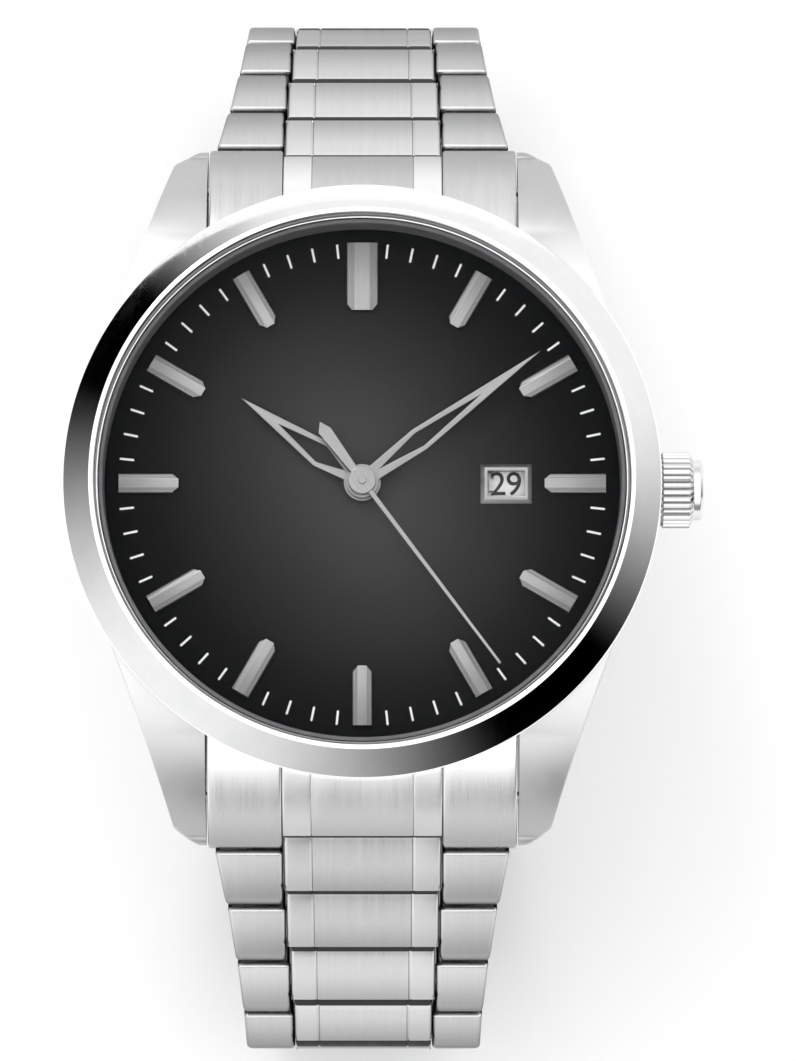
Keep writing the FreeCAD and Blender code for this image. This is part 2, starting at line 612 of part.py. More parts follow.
def winding_stem():
    """Stem with a square for the winding works and a groove for the setting lever."""
    shaft = rod_x(0.58, 9.5, 22.85, 0, CROWN_LEVEL)
    pivot = rod_x(0.35, 6.6, 9.5, 0, CROWN_LEVEL)
    square = box((6.9, 9.5), (-0.4, 0.4), (CROWN_LEVEL - 0.4, CROWN_LEVEL + 0.4))
    groove = rod_x(0.7, 10.0, 10.6, 0, CROWN_LEVEL).cut(rod_x(0.4, 9, 11, 0, CROWN_LEVEL))
    return fused([shaft, pivot, square]).cut(groove)


def winding_pinion():
    """Pinion held along the stem by its seat in the plates; the stem slides through it."""
    return along_x(gear(12, 0.19, 0, 0.9, CENTRE, 0, 0.64), 11.9)


def setting_lever():
    """Lever whose nose sits in the stem's groove, turning on a post under the main plate."""
    (x, y), (nose_x, nose_y) = LEVER_AXIS, LEVER_NOSE
    arm = plan_prism([(nose_x - 0.12, nose_y), (nose_x + 0.12, nose_y), (x - 0.1, 2.0), (x + 0.6, y),
                      (x - 0.6, y), (nose_x - 0.12, 1.4)], 4.3, 4.6)
    return fused([arm, disc(0.6, 4.3, 4.6, LEVER_AXIS)]).cut(disc(0.36, 4, 5, LEVER_AXIS))


# ---- Bracelet -----------------------------------------------------------------------------
def hinge_points():
    """Y and Z of every hinge along one side, from the case to the clasp."""
    points = [FIRST_HINGE]
    for angle in LINK_ANGLES:
        y, z = points[-1]
        points.append((y + LINK_PITCH * cos(radians(angle)), z - LINK_PITCH * sin(radians(angle))))
    return points


HINGES = hinge_points()
CLASP_Y, CLASP_Z = HINGES[-1]


def place_along(shape, hinge, angle, side):
    """Move a shape from its own frame (x along the bracelet, z outward) to the bracelet."""
    down, out = radians(angle), side
    along = Vector(0, out * cos(down), -sin(down))
    outward = Vector(0, out * sin(down), cos(down))
    across = outward.cross(along)
    matrix = Matrix(along.x, across.x, outward.x, 0,
                    along.y, across.y, outward.y, out * hinge[0],
                    along.z, across.z, outward.z, hinge[1],
                    0, 0, 0, 1)
    copy = shape.copy()
    copy.transformShape(matrix, True)
    return copy


def side_piece_profile():
    """Outer link seen from the side: hollow start, round nose at the next hinge."""
    p = LINK_PITCH
    return [(LIP, HALF), (p, HALF), ("arc", (p + HALF, 0), (p, -HALF)), (LIP, -HALF), (LIP, -LIP_HEIGHT),
            ("arc", (SOCKET, 0), (LIP, LIP_HEIGHT))]


def centre_piece_profile(flat_end):
    """Centre link: round nose at its own hinge, hollow or flat end before the next."""
    p = LINK_PITCH
    if flat_end:
        end = [(p - HALF - 0.4, HALF), (p - HALF - 0.4, -HALF)]
    else:
        end = [(p - LIP, HALF), (p - LIP, LIP_HEIGHT), ("arc", (p - SOCKET, 0), (p - LIP, -LIP_HEIGHT)),
               (p - LIP, -HALF)]
    return [(0, HALF)] + end + [(0, -HALF), ("arc", (-HALF, 0), (0, HALF))]


def cross_pin(radius, half_length, x):
    return Part.makeCylinder(radius, 2 * half_length, Vector(x, -half_length, 0), Vector(0, 1, 0))


def link(index, side):
    """One link: centre piece, two side pieces, hinge pin and the pin that joins the three."""
    width, next_width = LINK_WIDTHS[index], LINK_WIDTHS[index + 1]
    centre_half = CENTRE_WIDTHS[index] / 2
    inner = max(centre_half, CENTRE_WIDTHS[index + 1] / 2) + 0.1
    p = LINK_PITCH
    centre = side_prism(centre_piece_profile(side > 0 and index == len(LINK_ANGLES) - 1), centre_half)
    outer_pair = side_prism(side_piece_profile(), 12)
    plan = plan_prism([(0, inner), (0, width / 2), (p + 2, next_width / 2), (p + 2, inner)], -2, 2)
    outer = outer_pair.common(plan)
    hinge_hole = cross_pin(PIN + FIT, 12, p)
    joint_hole = cross_pin(0.42, next_width / 2 - 0.8, p / 2)
    outer = outer.cut([hinge_hole, joint_hole])
    centre = centre.cut([cross_pin(PIN + 0.02, 12, 0), joint_hole])
    pieces = [centre, outer, outer.mirror(Vector(0, 0, 0), Vector(0, 1, 0))]
    pins = [cross_pin(PIN, width / 2 - 0.9, 0), cross_pin(0.4, next_width / 2 - 0.9, p / 2)]
    return [place_along(piece, HINGES[index], LINK_ANGLES[index], side) for piece in pieces + pins]


def end_link_profile():
    """Side view of an end link, as (Y, Z), from the case to the first hinge."""
    y, z = FIRST_HINGE
    slope = radians(LINK_ANGLES[0])
    top = (y + HALF * sin(slope), z + HALF * cos(slope))
    tip = (y + HALF * cos(slope), z - HALF * sin(slope))
    foot = (y - HALF * sin(slope), z - HALF * cos(slope))
    back = [(21.2, 0.5), (20.4, 1.6), (16.0, 1.6)]
    return [(16.0, 8.2), ("arc", (21.25, 5.75), top), ("arc", tip, foot)] + back


def end_link(side):
    """Solid end link between the lugs, with ears round the first hinge."""
    half_width = LUG_FACE - 0.12
    centre_half = CENTRE_WIDTHS[0] / 2 + 0.1
    block = side_prism(end_link_profile(), half_width)
    y, z = FIRST_HINGE
    slope = radians(LINK_ANGLES[0])
    reach = HALF + GAP
    socket = cross_pin(reach, centre_half, 0)
    socket.translate(Vector(y, 0, z))
    beyond = Part.makeBox(6, 2 * centre_half, 8, Vector(-LIP, -centre_half, -4))
    beyond.rotate(Vector(0, 0, 0), Vector(0, 1, 0), degrees(slope))
    beyond.translate(Vector(y, 0, z))
    block = block.cut([socket, beyond])
    hole = cross_pin(PIN + FIT, 12, 0)
    hole.translate(Vector(y, 0, z))
    bar_hole = cross_pin(0.78, 12, 0)
    bar_hole.translate(Vector(SPRING_BAR[0], 0, SPRING_BAR[1]))
    block = block.cut([hole, bar_hole])
    block.rotate(Vector(0, 0, 0), Vector(0, 0, 1), 90 * side)
    return block.cut(disc(CASE_RADIUS + 0.1, -3, 12))


# ---- Clasp --------------------------------------------------------------------------------
FOLD_Y = CLASP_Y - 7.8        # hinge between the two blades, toward twelve
COVER_HINGE_Y = 5.8 - CLASP_Y
FOLD_Z = CLASP_Z + 0.45
COVER_HINGE_Z = CLASP_Z - 0.35
KNUCKLE_IN = 5.2
KNUCKLE_OUT = (5.35, 6.9)
COVER_HALF = 8.8
PLATE_LOW, PLATE_HIGH = CLASP_Z - 2.0, CLASP_Z - 1.25
END_KNUCKLE = 4.75            # half width of the knuckle that joins the last link
BUTTON_Y, BUTTON_Z = CLASP_Y - 4.2, CLASP_Z - 0.1


def pair(x_range, y_range, z_range):
    """Two boxes, mirrored left and right."""
    return [box(x_range, y_range, z_range), box((-x_range[1], -x_range[0]), y_range, z_range)]


def knuckles(radius, y, z):
    return [rod_x(radius, *KNUCKLE_OUT, y, z), rod_x(radius, -KNUCKLE_OUT[1], -KNUCKLE_OUT[0], y, z)]


def clasp_blade_a():
    """Inner blade, hinged to the last link on the six o'clock side."""
    nose = rod_x(1.4, -END_KNUCKLE, END_KNUCKLE, -CLASP_Y, CLASP_Z)
    step = box((-END_KNUCKLE, END_KNUCKLE), (-CLASP_Y, -CLASP_Y + 3.2), (CLASP_Z - 0.6, CLASP_Z + 1.35))
    half_width = KNUCKLE_OUT[1]
    level = (CLASP_Z + 0.55, CLASP_Z + 1.35)
    plate = box((-half_width, half_width), (-CLASP_Y + 2.2, FOLD_Y - 1.3), level)
    arms = pair(KNUCKLE_OUT, (FOLD_Y - 2, FOLD_Y), level)
    window = box((-3.2, 3.2), (-8, 5), (CLASP_Z, CLASP_Z + 3))
    blade = fused([nose, step, plate] + arms + knuckles(0.85, FOLD_Y, FOLD_Z)).cut(window)
    holes = [rod_x(PIN + FIT, -9, 9, -CLASP_Y, CLASP_Z), rod_x(0.42, -9, 9, FOLD_Y, FOLD_Z)]
    pin = rod_x(0.4, -6.8, 6.8, FOLD_Y, FOLD_Z)
    link_pin = rod_x(PIN, -7.4, 7.4, -CLASP_Y, CLASP_Z)
    return [blade.cut(holes), pin, link_pin]


def clasp_blade_b():
    """Middle blade, between the inner blade and the cover."""
    plate = box((-KNUCKLE_IN, KNUCKLE_IN), (COVER_HINGE_Y, FOLD_Y), (CLASP_Z - 0.45, CLASP_Z + 0.3))
    window = box((-2.6, 2.6), (-7, 5), (CLASP_Z - 2, CLASP_Z + 3))
    ends = [rod_x(0.85, -KNUCKLE_IN, KNUCKLE_IN, FOLD_Y, FOLD_Z),
            rod_x(0.75, -KNUCKLE_IN, KNUCKLE_IN, COVER_HINGE_Y, COVER_HINGE_Z)]
    holes = [rod_x(0.46, -9, 9, FOLD_Y, FOLD_Z), rod_x(0.46, -9, 9, COVER_HINGE_Y, COVER_HINGE_Z)]
    return fused([plate] + ends).cut([window] + holes)


def clasp_cover():
    """Outer cover with side walls, a hinge at one end and the last link's knuckle at the other."""
    far_end = CLASP_Y - 2.0
    plate = box((-COVER_HALF, COVER_HALF), (-CLASP_Y + 1.9, far_end), (PLATE_LOW, PLATE_HIGH))
    walls = pair((COVER_HALF - 0.7, COVER_HALF), (-CLASP_Y + 1.9, far_end), (PLATE_LOW, CLASP_Z + 0.5))
    posts = pair(KNUCKLE_OUT, (COVER_HINGE_Y - 0.7, COVER_HINGE_Y + 0.7), (PLATE_LOW, COVER_HINGE_Z))
    nose = rod_x(1.35, -END_KNUCKLE, END_KNUCKLE, CLASP_Y, CLASP_Z)
    neck = box((-END_KNUCKLE, END_KNUCKLE), (far_end - 1.6, CLASP_Y), (CLASP_Z - 1.35, CLASP_Z + 0.5))
    drop = box((-END_KNUCKLE, END_KNUCKLE), (far_end - 1.6, far_end - 0.4), (PLATE_LOW, CLASP_Z))
    cover = fused([plate, nose, neck, drop] + walls + posts + knuckles(0.75, COVER_HINGE_Y, COVER_HINGE_Z))
    cover = cover.makeFillet(0.5, [edge for edge in cover.Edges if is_outer_edge(edge)])
    holes = [rod_x(PIN + FIT, -9, 9, CLASP_Y, CLASP_Z), rod_x(0.42, -9, 9, COVER_HINGE_Y, COVER_HINGE_Z),
             rod_x(0.82, -9, 9, BUTTON_Y, BUTTON_Z)]
    hinge_pin = rod_x(0.4, -6.8, 6.8, COVER_HINGE_Y, COVER_HINGE_Z)
    spring_bar = rod_x(0.5, -END_KNUCKLE + 0.1, END_KNUCKLE - 0.1, CLASP_Y, CLASP_Z)
    return [cover.cut(holes), hinge_pin, spring_bar]


def is_outer_edge(edge):
    """True for the two long lower edges of the cover."""
    box_of = edge.BoundBox
    on_bottom = abs(box_of.ZMax - PLATE_LOW) < 1e-6 and abs(box_of.ZMin - PLATE_LOW) < 1e-6
    along_side = abs(abs(box_of.Center.x) - COVER_HALF) < 1e-6
    return on_bottom and along_side and box_of.YLength > 5


def button(side):
    """Push-button through the cover's side wall, with a collar behind the wall."""
    stem = rod_x(0.75, 7.4, 9.7, BUTTON_Y, BUTTON_Z)
    stem = stem.makeChamfer(0.15, [edge for edge in stem.Edges if abs(edge.BoundBox.XMin - 9.7) < 1e-6])
    collar = rod_x(1.05, 7.4, 7.95, BUTTON_Y, BUTTON_Z)
    body = stem.fuse(collar)
    return body if side > 0 else body.mirror(Vector(0, 0, 0), Vector(1, 0, 0))


# ---- Write every node ---------------------------------------------------------------------
NODES = {
    "case_middle": [case_middle()],
    "bezel": [bezel()],
    "crystal": [crystal()],
    "gaskets": gaskets(),
    "rehaut_ring": [rehaut_ring()],
    "case_back": [case_back()],
    "case_back_glass": [case_back_glass()],
    "movement_ring": [movement_ring()],
    "crown_tube": [crown_tube()],
    "spring_bars": spring_bars(),
    "end_link_12": [end_link(1)],
    "end_link_6": [end_link(-1)],
    "dial": [dial()],
    "hour_markers": hour_markers(),
    "date_frame": [date_frame()],
    "hour_hand": [hour_hand()],
    "minute_hand": [minute_hand()],
    "seconds_hand": [seconds_hand()],
    "main_plate": [main_plate()],
    "three_quarter_plate": [three_quarter_plate()],
    "balance_cock": [balance_cock(), pallet_bridge()],
    "movement_screws": movement_screws() + [rotor_bearing()],
    "jewels": jewels(),
    "barrel": [barrel()],
    "great_wheel": [great_wheel()],
    "third_wheel": [third_wheel()],
    "fourth_wheel": [fourth_wheel()],
    "centre_wheel": [centre_wheel()],
    "minute_wheel": [minute_wheel()],
    "hour_wheel": [hour_wheel()],
    "escape_wheel": [escape_wheel()],
    "pallet_fork": [pallet_fork()],
    "balance_wheel": [balance_wheel(), hairspring()],
    "date_ring": [date_ring()],
    "rotor": [rotor()],
    "crown": [crown()],
    "winding_stem": [winding_stem()],
    "winding_pinion": [winding_pinion()],
    "setting_lever": [setting_lever()],
    "clasp_blade_a": clasp_blade_a(),
    "clasp_blade_b": [clasp_blade_b()],
    "clasp_cover": clasp_cover(),
    "button_left": [button(-1)],
    "button_right": [button(1)],
}
for number in range(len(LINK_ANGLES)):
    NODES["link_12_" + str(number + 1)] = link(number, 1)
    NODES["link_6_" + str(number + 1)] = link(number, -1)

for node_name, node_solids in NODES.items():
    export(node_name, node_solids)
    for solid in node_solids:
        if not solid.isValid():
            print("not valid:", node_name)
print(len(NODES), "nodes")
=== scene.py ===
"""Looks of the wristwatch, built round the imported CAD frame.

Lengths below are in millimetres and turned into metres when a mesh is made. The dial faces +Z,
twelve o'clock is +Y and the crown is +X.
"""
import json
from math import atan2, cos, degrees, pi, radians, sin, sqrt, tan

import bmesh
import bpy
from mathutils import Matrix, Vector


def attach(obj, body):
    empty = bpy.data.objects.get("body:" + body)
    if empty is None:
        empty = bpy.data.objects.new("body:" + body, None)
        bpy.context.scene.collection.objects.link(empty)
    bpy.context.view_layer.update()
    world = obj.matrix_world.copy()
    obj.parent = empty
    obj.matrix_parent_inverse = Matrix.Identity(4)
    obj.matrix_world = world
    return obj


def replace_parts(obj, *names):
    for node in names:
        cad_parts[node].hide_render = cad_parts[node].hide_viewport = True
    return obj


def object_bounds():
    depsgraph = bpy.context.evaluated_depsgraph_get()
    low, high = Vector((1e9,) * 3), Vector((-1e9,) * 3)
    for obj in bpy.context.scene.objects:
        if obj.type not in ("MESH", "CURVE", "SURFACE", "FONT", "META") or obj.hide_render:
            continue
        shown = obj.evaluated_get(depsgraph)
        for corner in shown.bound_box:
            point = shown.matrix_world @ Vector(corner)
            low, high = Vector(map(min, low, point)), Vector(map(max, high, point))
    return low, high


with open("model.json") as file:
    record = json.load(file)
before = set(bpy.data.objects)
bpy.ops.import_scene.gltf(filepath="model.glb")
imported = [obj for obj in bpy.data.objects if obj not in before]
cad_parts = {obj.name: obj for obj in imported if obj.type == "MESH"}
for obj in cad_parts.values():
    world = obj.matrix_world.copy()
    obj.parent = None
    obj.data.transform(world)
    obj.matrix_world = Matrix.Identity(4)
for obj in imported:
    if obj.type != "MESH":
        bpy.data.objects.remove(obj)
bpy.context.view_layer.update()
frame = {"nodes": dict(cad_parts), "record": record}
NODES = frame["nodes"]
MM = 0.001
RECORD = frame["record"]
BODY_OF_NODE = {n: body for body, members in RECORD["behaviour"]["bodies"].items() for n in members}


# ---- Materials ----------------------------------------------------------------------------
class Shader:
    """Short way to write a node material."""

    def __init__(self, name):
        self.material = bpy.data.materials.new(name)
        self.material.use_nodes = True
        self.tree = self.material.node_tree
        self.bsdf = self.tree.nodes["Principled BSDF"]
        self.coords = self.tree.nodes.new("ShaderNodeTexCoord").outputs["Object"]

    def node(self, kind, inputs=None, **settings):
        made = self.tree.nodes.new("ShaderNode" + kind)
        for key, value in settings.items():
            setattr(made, key, value)
        for key, value in (inputs or {}).items():
            self.feed(made.inputs[key], value)
        return made

    def feed(self, socket, value):
        if isinstance(value, bpy.types.NodeSocket):
            self.tree.links.new(value, socket)
        else:
            socket.default_value = value

    def set(self, **values):
        for key, value in values.items():
            self.feed(self.bsdf.inputs[key.replace("_", " ")], value)

    def scaled(self, scale):
        return self.node("Mapping", {"Vector": self.coords, "Scale": scale}).outputs["Vector"]

    def noise(self, scale, source=None, detail=3.0, roughness=0.55):
        made = self.node("TexNoise", {"Vector": source or self.coords, "Scale": scale, "Detail": detail,
                                      "Roughness": roughness})
        return made.outputs["Fac"]

    def spread(self, value, low, high, start=0.3, end=0.7):
        made = self.node("MapRange", {"Value": value, "From Min": start, "From Max": end, "To Min": low,
                                      "To Max": high})
        return made.outputs["Result"]

    def math(self, operation, *values):
        return self.node("Math", dict(enumerate(values)), operation=operation).outputs["Value"]

    def ramp(self, value, stops):
        """Grey that runs through (place, brightness) stops."""
        made = self.node("ValToRGB", {"Fac": value})
        ramp = made.color_ramp
        ramp.interpolation = "LINEAR"
        ramp.elements.remove(ramp.elements[1])
        ramp.elements[0].position = stops[0][0]
        for place, _ in stops[1:]:
            ramp.elements.new(place)
        for element, (_, brightness) in zip(ramp.elements, stops):
            element.color = grey(brightness)
        return made.outputs["Color"]

    def bump(self, height, strength, distance):
        made = self.node("Bump", {"Height": height, "Strength": strength, "Distance": distance})
        self.set(Normal=made.outputs["Normal"])


def grey(value):
    return (value, value, value, 1.0)


def tinted(shader, value, dark, light):
    """Colour between two tints, by a value from 0 to 1."""
    mix = shader.node("Mix", {0: value, 6: dark, 7: light}, data_type="RGBA")
    return mix.outputs[2]


def polished(name, light, dark, low=0.05, high=0.11, painted_shade=None, away=False):
    """Mirror polish with faint wear: fine scratches and slightly cloudy patches; optional painted shade deepens the
    colour along an axis or where the surface turns from the viewer.
    """
    s = Shader(name)
    cloud = s.noise(350.0, detail=4.0)
    hair = s.noise(2600.0, s.scaled((1.0, 0.12, 0.5)), detail=2.0)
    colour = tinted(s, s.spread(cloud, 0, 1), dark, light)
    if painted_shade:
        colour = faded(s, colour, *painted_shade)
    if away:
        colour = shaded_away(s, colour)
    s.set(Metallic=1.0, Base_Color=colour,
          Roughness=s.math("ADD", s.spread(cloud, low, high), s.spread(hair, 0.0, 0.03, 0.55, 0.75)))
    s.bump(hair, 0.012, 0.00002)
    return s.material


def faded(s, colour, axis, start, end, low):
    """Painted shade: colour that deepens to a share low of itself between two distances along an axis, either way.
    """
    place = s.math("ABSOLUTE", s.node("SeparateXYZ", {0: s.coords}).outputs[axis])
    share = s.node("MapRange", {"Value": place, "From Min": start * MM, "From Max": end * MM, "To Min": 1.0,
                                "To Max": low}, clamp=True, interpolation_type="SMOOTHSTEP").outputs["Result"]
    return s.node("VectorMath", {0: colour, 1: share}, operation="MULTIPLY").outputs["Vector"]


def shaded_away(s, colour):
    """Painted shade: colour that deepens where the surface turns away from the viewer."""
    facing = s.node("LayerWeight", {"Blend": 0.5}).outputs["Facing"]
    share = s.node("MapRange", {"Value": facing, "From Min": 0.40, "From Max": 0.75, "To Min": 1.0,
                                "To Max": 0.45}, clamp=True).outputs["Result"]
    return s.node("VectorMath", {0: colour, 1: share}, operation="MULTIPLY").outputs["Vector"]


def brushed(name, light, dark, along, low=0.24, high=0.36, strength=0.07, painted_shade=None, away=False):
    """Straight-grained metal; along is the grain's direction in the piece's own axes. Optional painted shade
    deepens the colour along an axis or where the surface turns from the viewer.
    """
    s = Shader(name)
    across = [1.0 - part for part in along[:2]] + [0.0]
    stretch = [1.0 if part else 0.035 for part in across]
    finer = [part if part == 1.0 else 0.015 for part in stretch]
    fine = s.noise(12000.0, s.scaled(finer), detail=4.0, roughness=0.7)
    broad = s.noise(1500.0, s.scaled(stretch), detail=3.0)
    patch = s.noise(160.0)
    grain = s.math("ADD", s.math("MULTIPLY", fine, 0.6), s.math("MULTIPLY", broad, 0.4))
    tone = s.math("ADD", s.math("MULTIPLY", grain, 0.8), s.math("MULTIPLY", patch, 0.2))
    colour = tinted(s, s.spread(tone, 0, 1, 0.36, 0.64), dark, light)
    if painted_shade:
        colour = faded(s, colour, *painted_shade)
    if away:
        colour = shaded_away(s, colour)
    s.set(Metallic=1.0, Base_Color=colour, Roughness=s.spread(tone, low, high, 0.36, 0.64))
    s.bsdf.inputs["Anisotropic"].default_value = 0.55
    direction = s.node("VectorTransform", {"Vector": along}, vector_type="VECTOR", convert_from="OBJECT",
                       convert_to="WORLD")
    s.set(Tangent=direction.outputs["Vector"])
    s.bump(grain, strength * 0.5, 0.00003)
    return s.material


def turned_metal(name, light, dark, low=0.2, high=0.32, rings=9000.0):
    """Metal with fine concentric turning marks about Z."""
    s = Shader(name)
    flat = s.scaled((1.0, 1.0, 0.0))
    radius = s.node("VectorMath", {0: flat}, operation="LENGTH").outputs["Value"]
    marks = s.node("TexNoise", {"W": radius, "Scale": rings, "Detail": 3.0},
                   noise_dimensions="1D").outputs["Fac"]
    patch = s.noise(300.0)
    s.set(Metallic=1.0, Base_Color=tinted(s, s.spread(marks, 0, 1), dark, light),
          Roughness=s.math("ADD", s.spread(marks, low, high), s.spread(patch, -0.03, 0.03)))
    s.bump(marks, 0.06, 0.00002)
    return s.material


def striped(name, light, dark):
    """Plated bridge with broad parallel stripes, each one finely grained."""
    s = Shader(name)
    axes = s.node("SeparateXYZ", {0: s.coords})
    wave = s.math("FRACT", s.math("MULTIPLY", axes.outputs["X"], 480.0))
    fine = s.noise(7000.0, s.scaled((1.0, 0.05, 1.0)), detail=3.0)
    tone = s.math("ADD", s.math("MULTIPLY", wave, 0.7), s.math("MULTIPLY", fine, 0.3))
    s.set(Metallic=1.0, Base_Color=tinted(s, s.spread(tone, 0, 1, 0.1, 0.9), dark, light),
          Roughness=s.spread(tone, 0.18, 0.38, 0.1, 0.9))
    s.bump(tone, 0.08, 0.00003)
    return s.material


def dial_black():
    """Near-black lacquer over a sunray-brushed plate, with painted light making it lighter toward the centre and a
    painted sheen of two lobes across it.
    """
    s = Shader("dial_black")
    axes = s.node("SeparateXYZ", {0: s.coords})
    radius = s.node("VectorMath", {0: s.scaled((1.0, 1.0, 0.0))}, operation="LENGTH").outputs["Value"]
    angle = s.math("ARCTAN2", axes.outputs["Y"], axes.outputs["X"])
    rays = s.node("TexNoise", {"W": angle, "Scale": 130.0, "Detail": 6.0, "Roughness": 0.75},
                  noise_dimensions="1D").outputs["Fac"]
    share = s.math("DIVIDE", radius, 0.0185)
    # Painted light: the plate lighter toward the centre.
    painted_glow = s.ramp(share, [(0.0, 0.052), (0.15, 0.050), (0.30, 0.040), (0.46, 0.028), (0.61, 0.019),
                          (0.76, 0.010), (0.87, 0.006), (1.0, 0.003)])
    # Painted sheen: two bright lobes across the dial, stronger toward the rim.
    painted_sheen_lobe = s.math("COSINE", s.math("SUBTRACT", s.math("MULTIPLY", angle, 2.0), radians(240)))
    painted_sheen = s.math("ADD", s.math("MULTIPLY", s.math("MULTIPLY", painted_sheen_lobe, 0.42), share), 1.0)
    rays_and_painted_sheen = s.math("MULTIPLY", s.spread(rays, 0.92, 1.08, 0.35, 0.65), painted_sheen)
    colour = s.node("VectorMath", {0: painted_glow, 1: rays_and_painted_sheen}, operation="MULTIPLY").outputs["Vector"]
    s.set(Base_Color=colour, Metallic=0.35, Roughness=s.spread(rays, 0.30, 0.42, 0.35, 0.65))
    s.bsdf.inputs["Anisotropic"].default_value = 0.6
    s.bsdf.inputs["Specular IOR Level"].default_value = 0.02
    s.set(Tangent=s.node("Tangent", direction_type="RADIAL", axis="Z").outputs["Tangent"])
    s.bump(rays, 0.02, 0.00002)
    return s.material


def lacquer(name, light, dark, rough=0.3, scale=900.0, metallic=0.0):
    """Paint, print or plastic with slight unevenness."""
    s = Shader(name)
    grain = s.noise(scale, detail=5.0)
    s.set(Base_Color=tinted(s, s.spread(grain, 0, 1), dark, light), Metallic=metallic,
          Roughness=s.spread(grain, rough * 0.8, rough * 1.25))
    s.bump(grain, 0.03, 0.00002)
    return s.material


def clear_glass(name, alpha):
    """Thin view of sapphire: mostly open, with a smooth glossy skin and faint dust in its gloss."""
    s = Shader(name)
    s.set(Base_Color=(0.02, 0.025, 0.03, 1.0), Roughness=s.spread(s.noise(500.0), 0.0, 0.02))
    s.bsdf.inputs["Alpha"].default_value = alpha
    s.bsdf.inputs["IOR"].default_value = 1.5
    return s.material


def ruby():
    s = Shader("ruby")
    grain = s.noise(4000.0)
    s.set(Base_Color=tinted(s, s.spread(grain, 0, 1), (0.28, 0.003, 0.03, 1), (0.55, 0.01, 0.07, 1)),
          Roughness=s.spread(grain, 0.03, 0.09))
    s.bsdf.inputs["Coat Weight"].default_value = 0.5
    return s.material


STEEL_LIGHT = (0.93, 0.93, 0.935, 1)
STEEL_DARK = (0.86, 0.865, 0.875, 1)
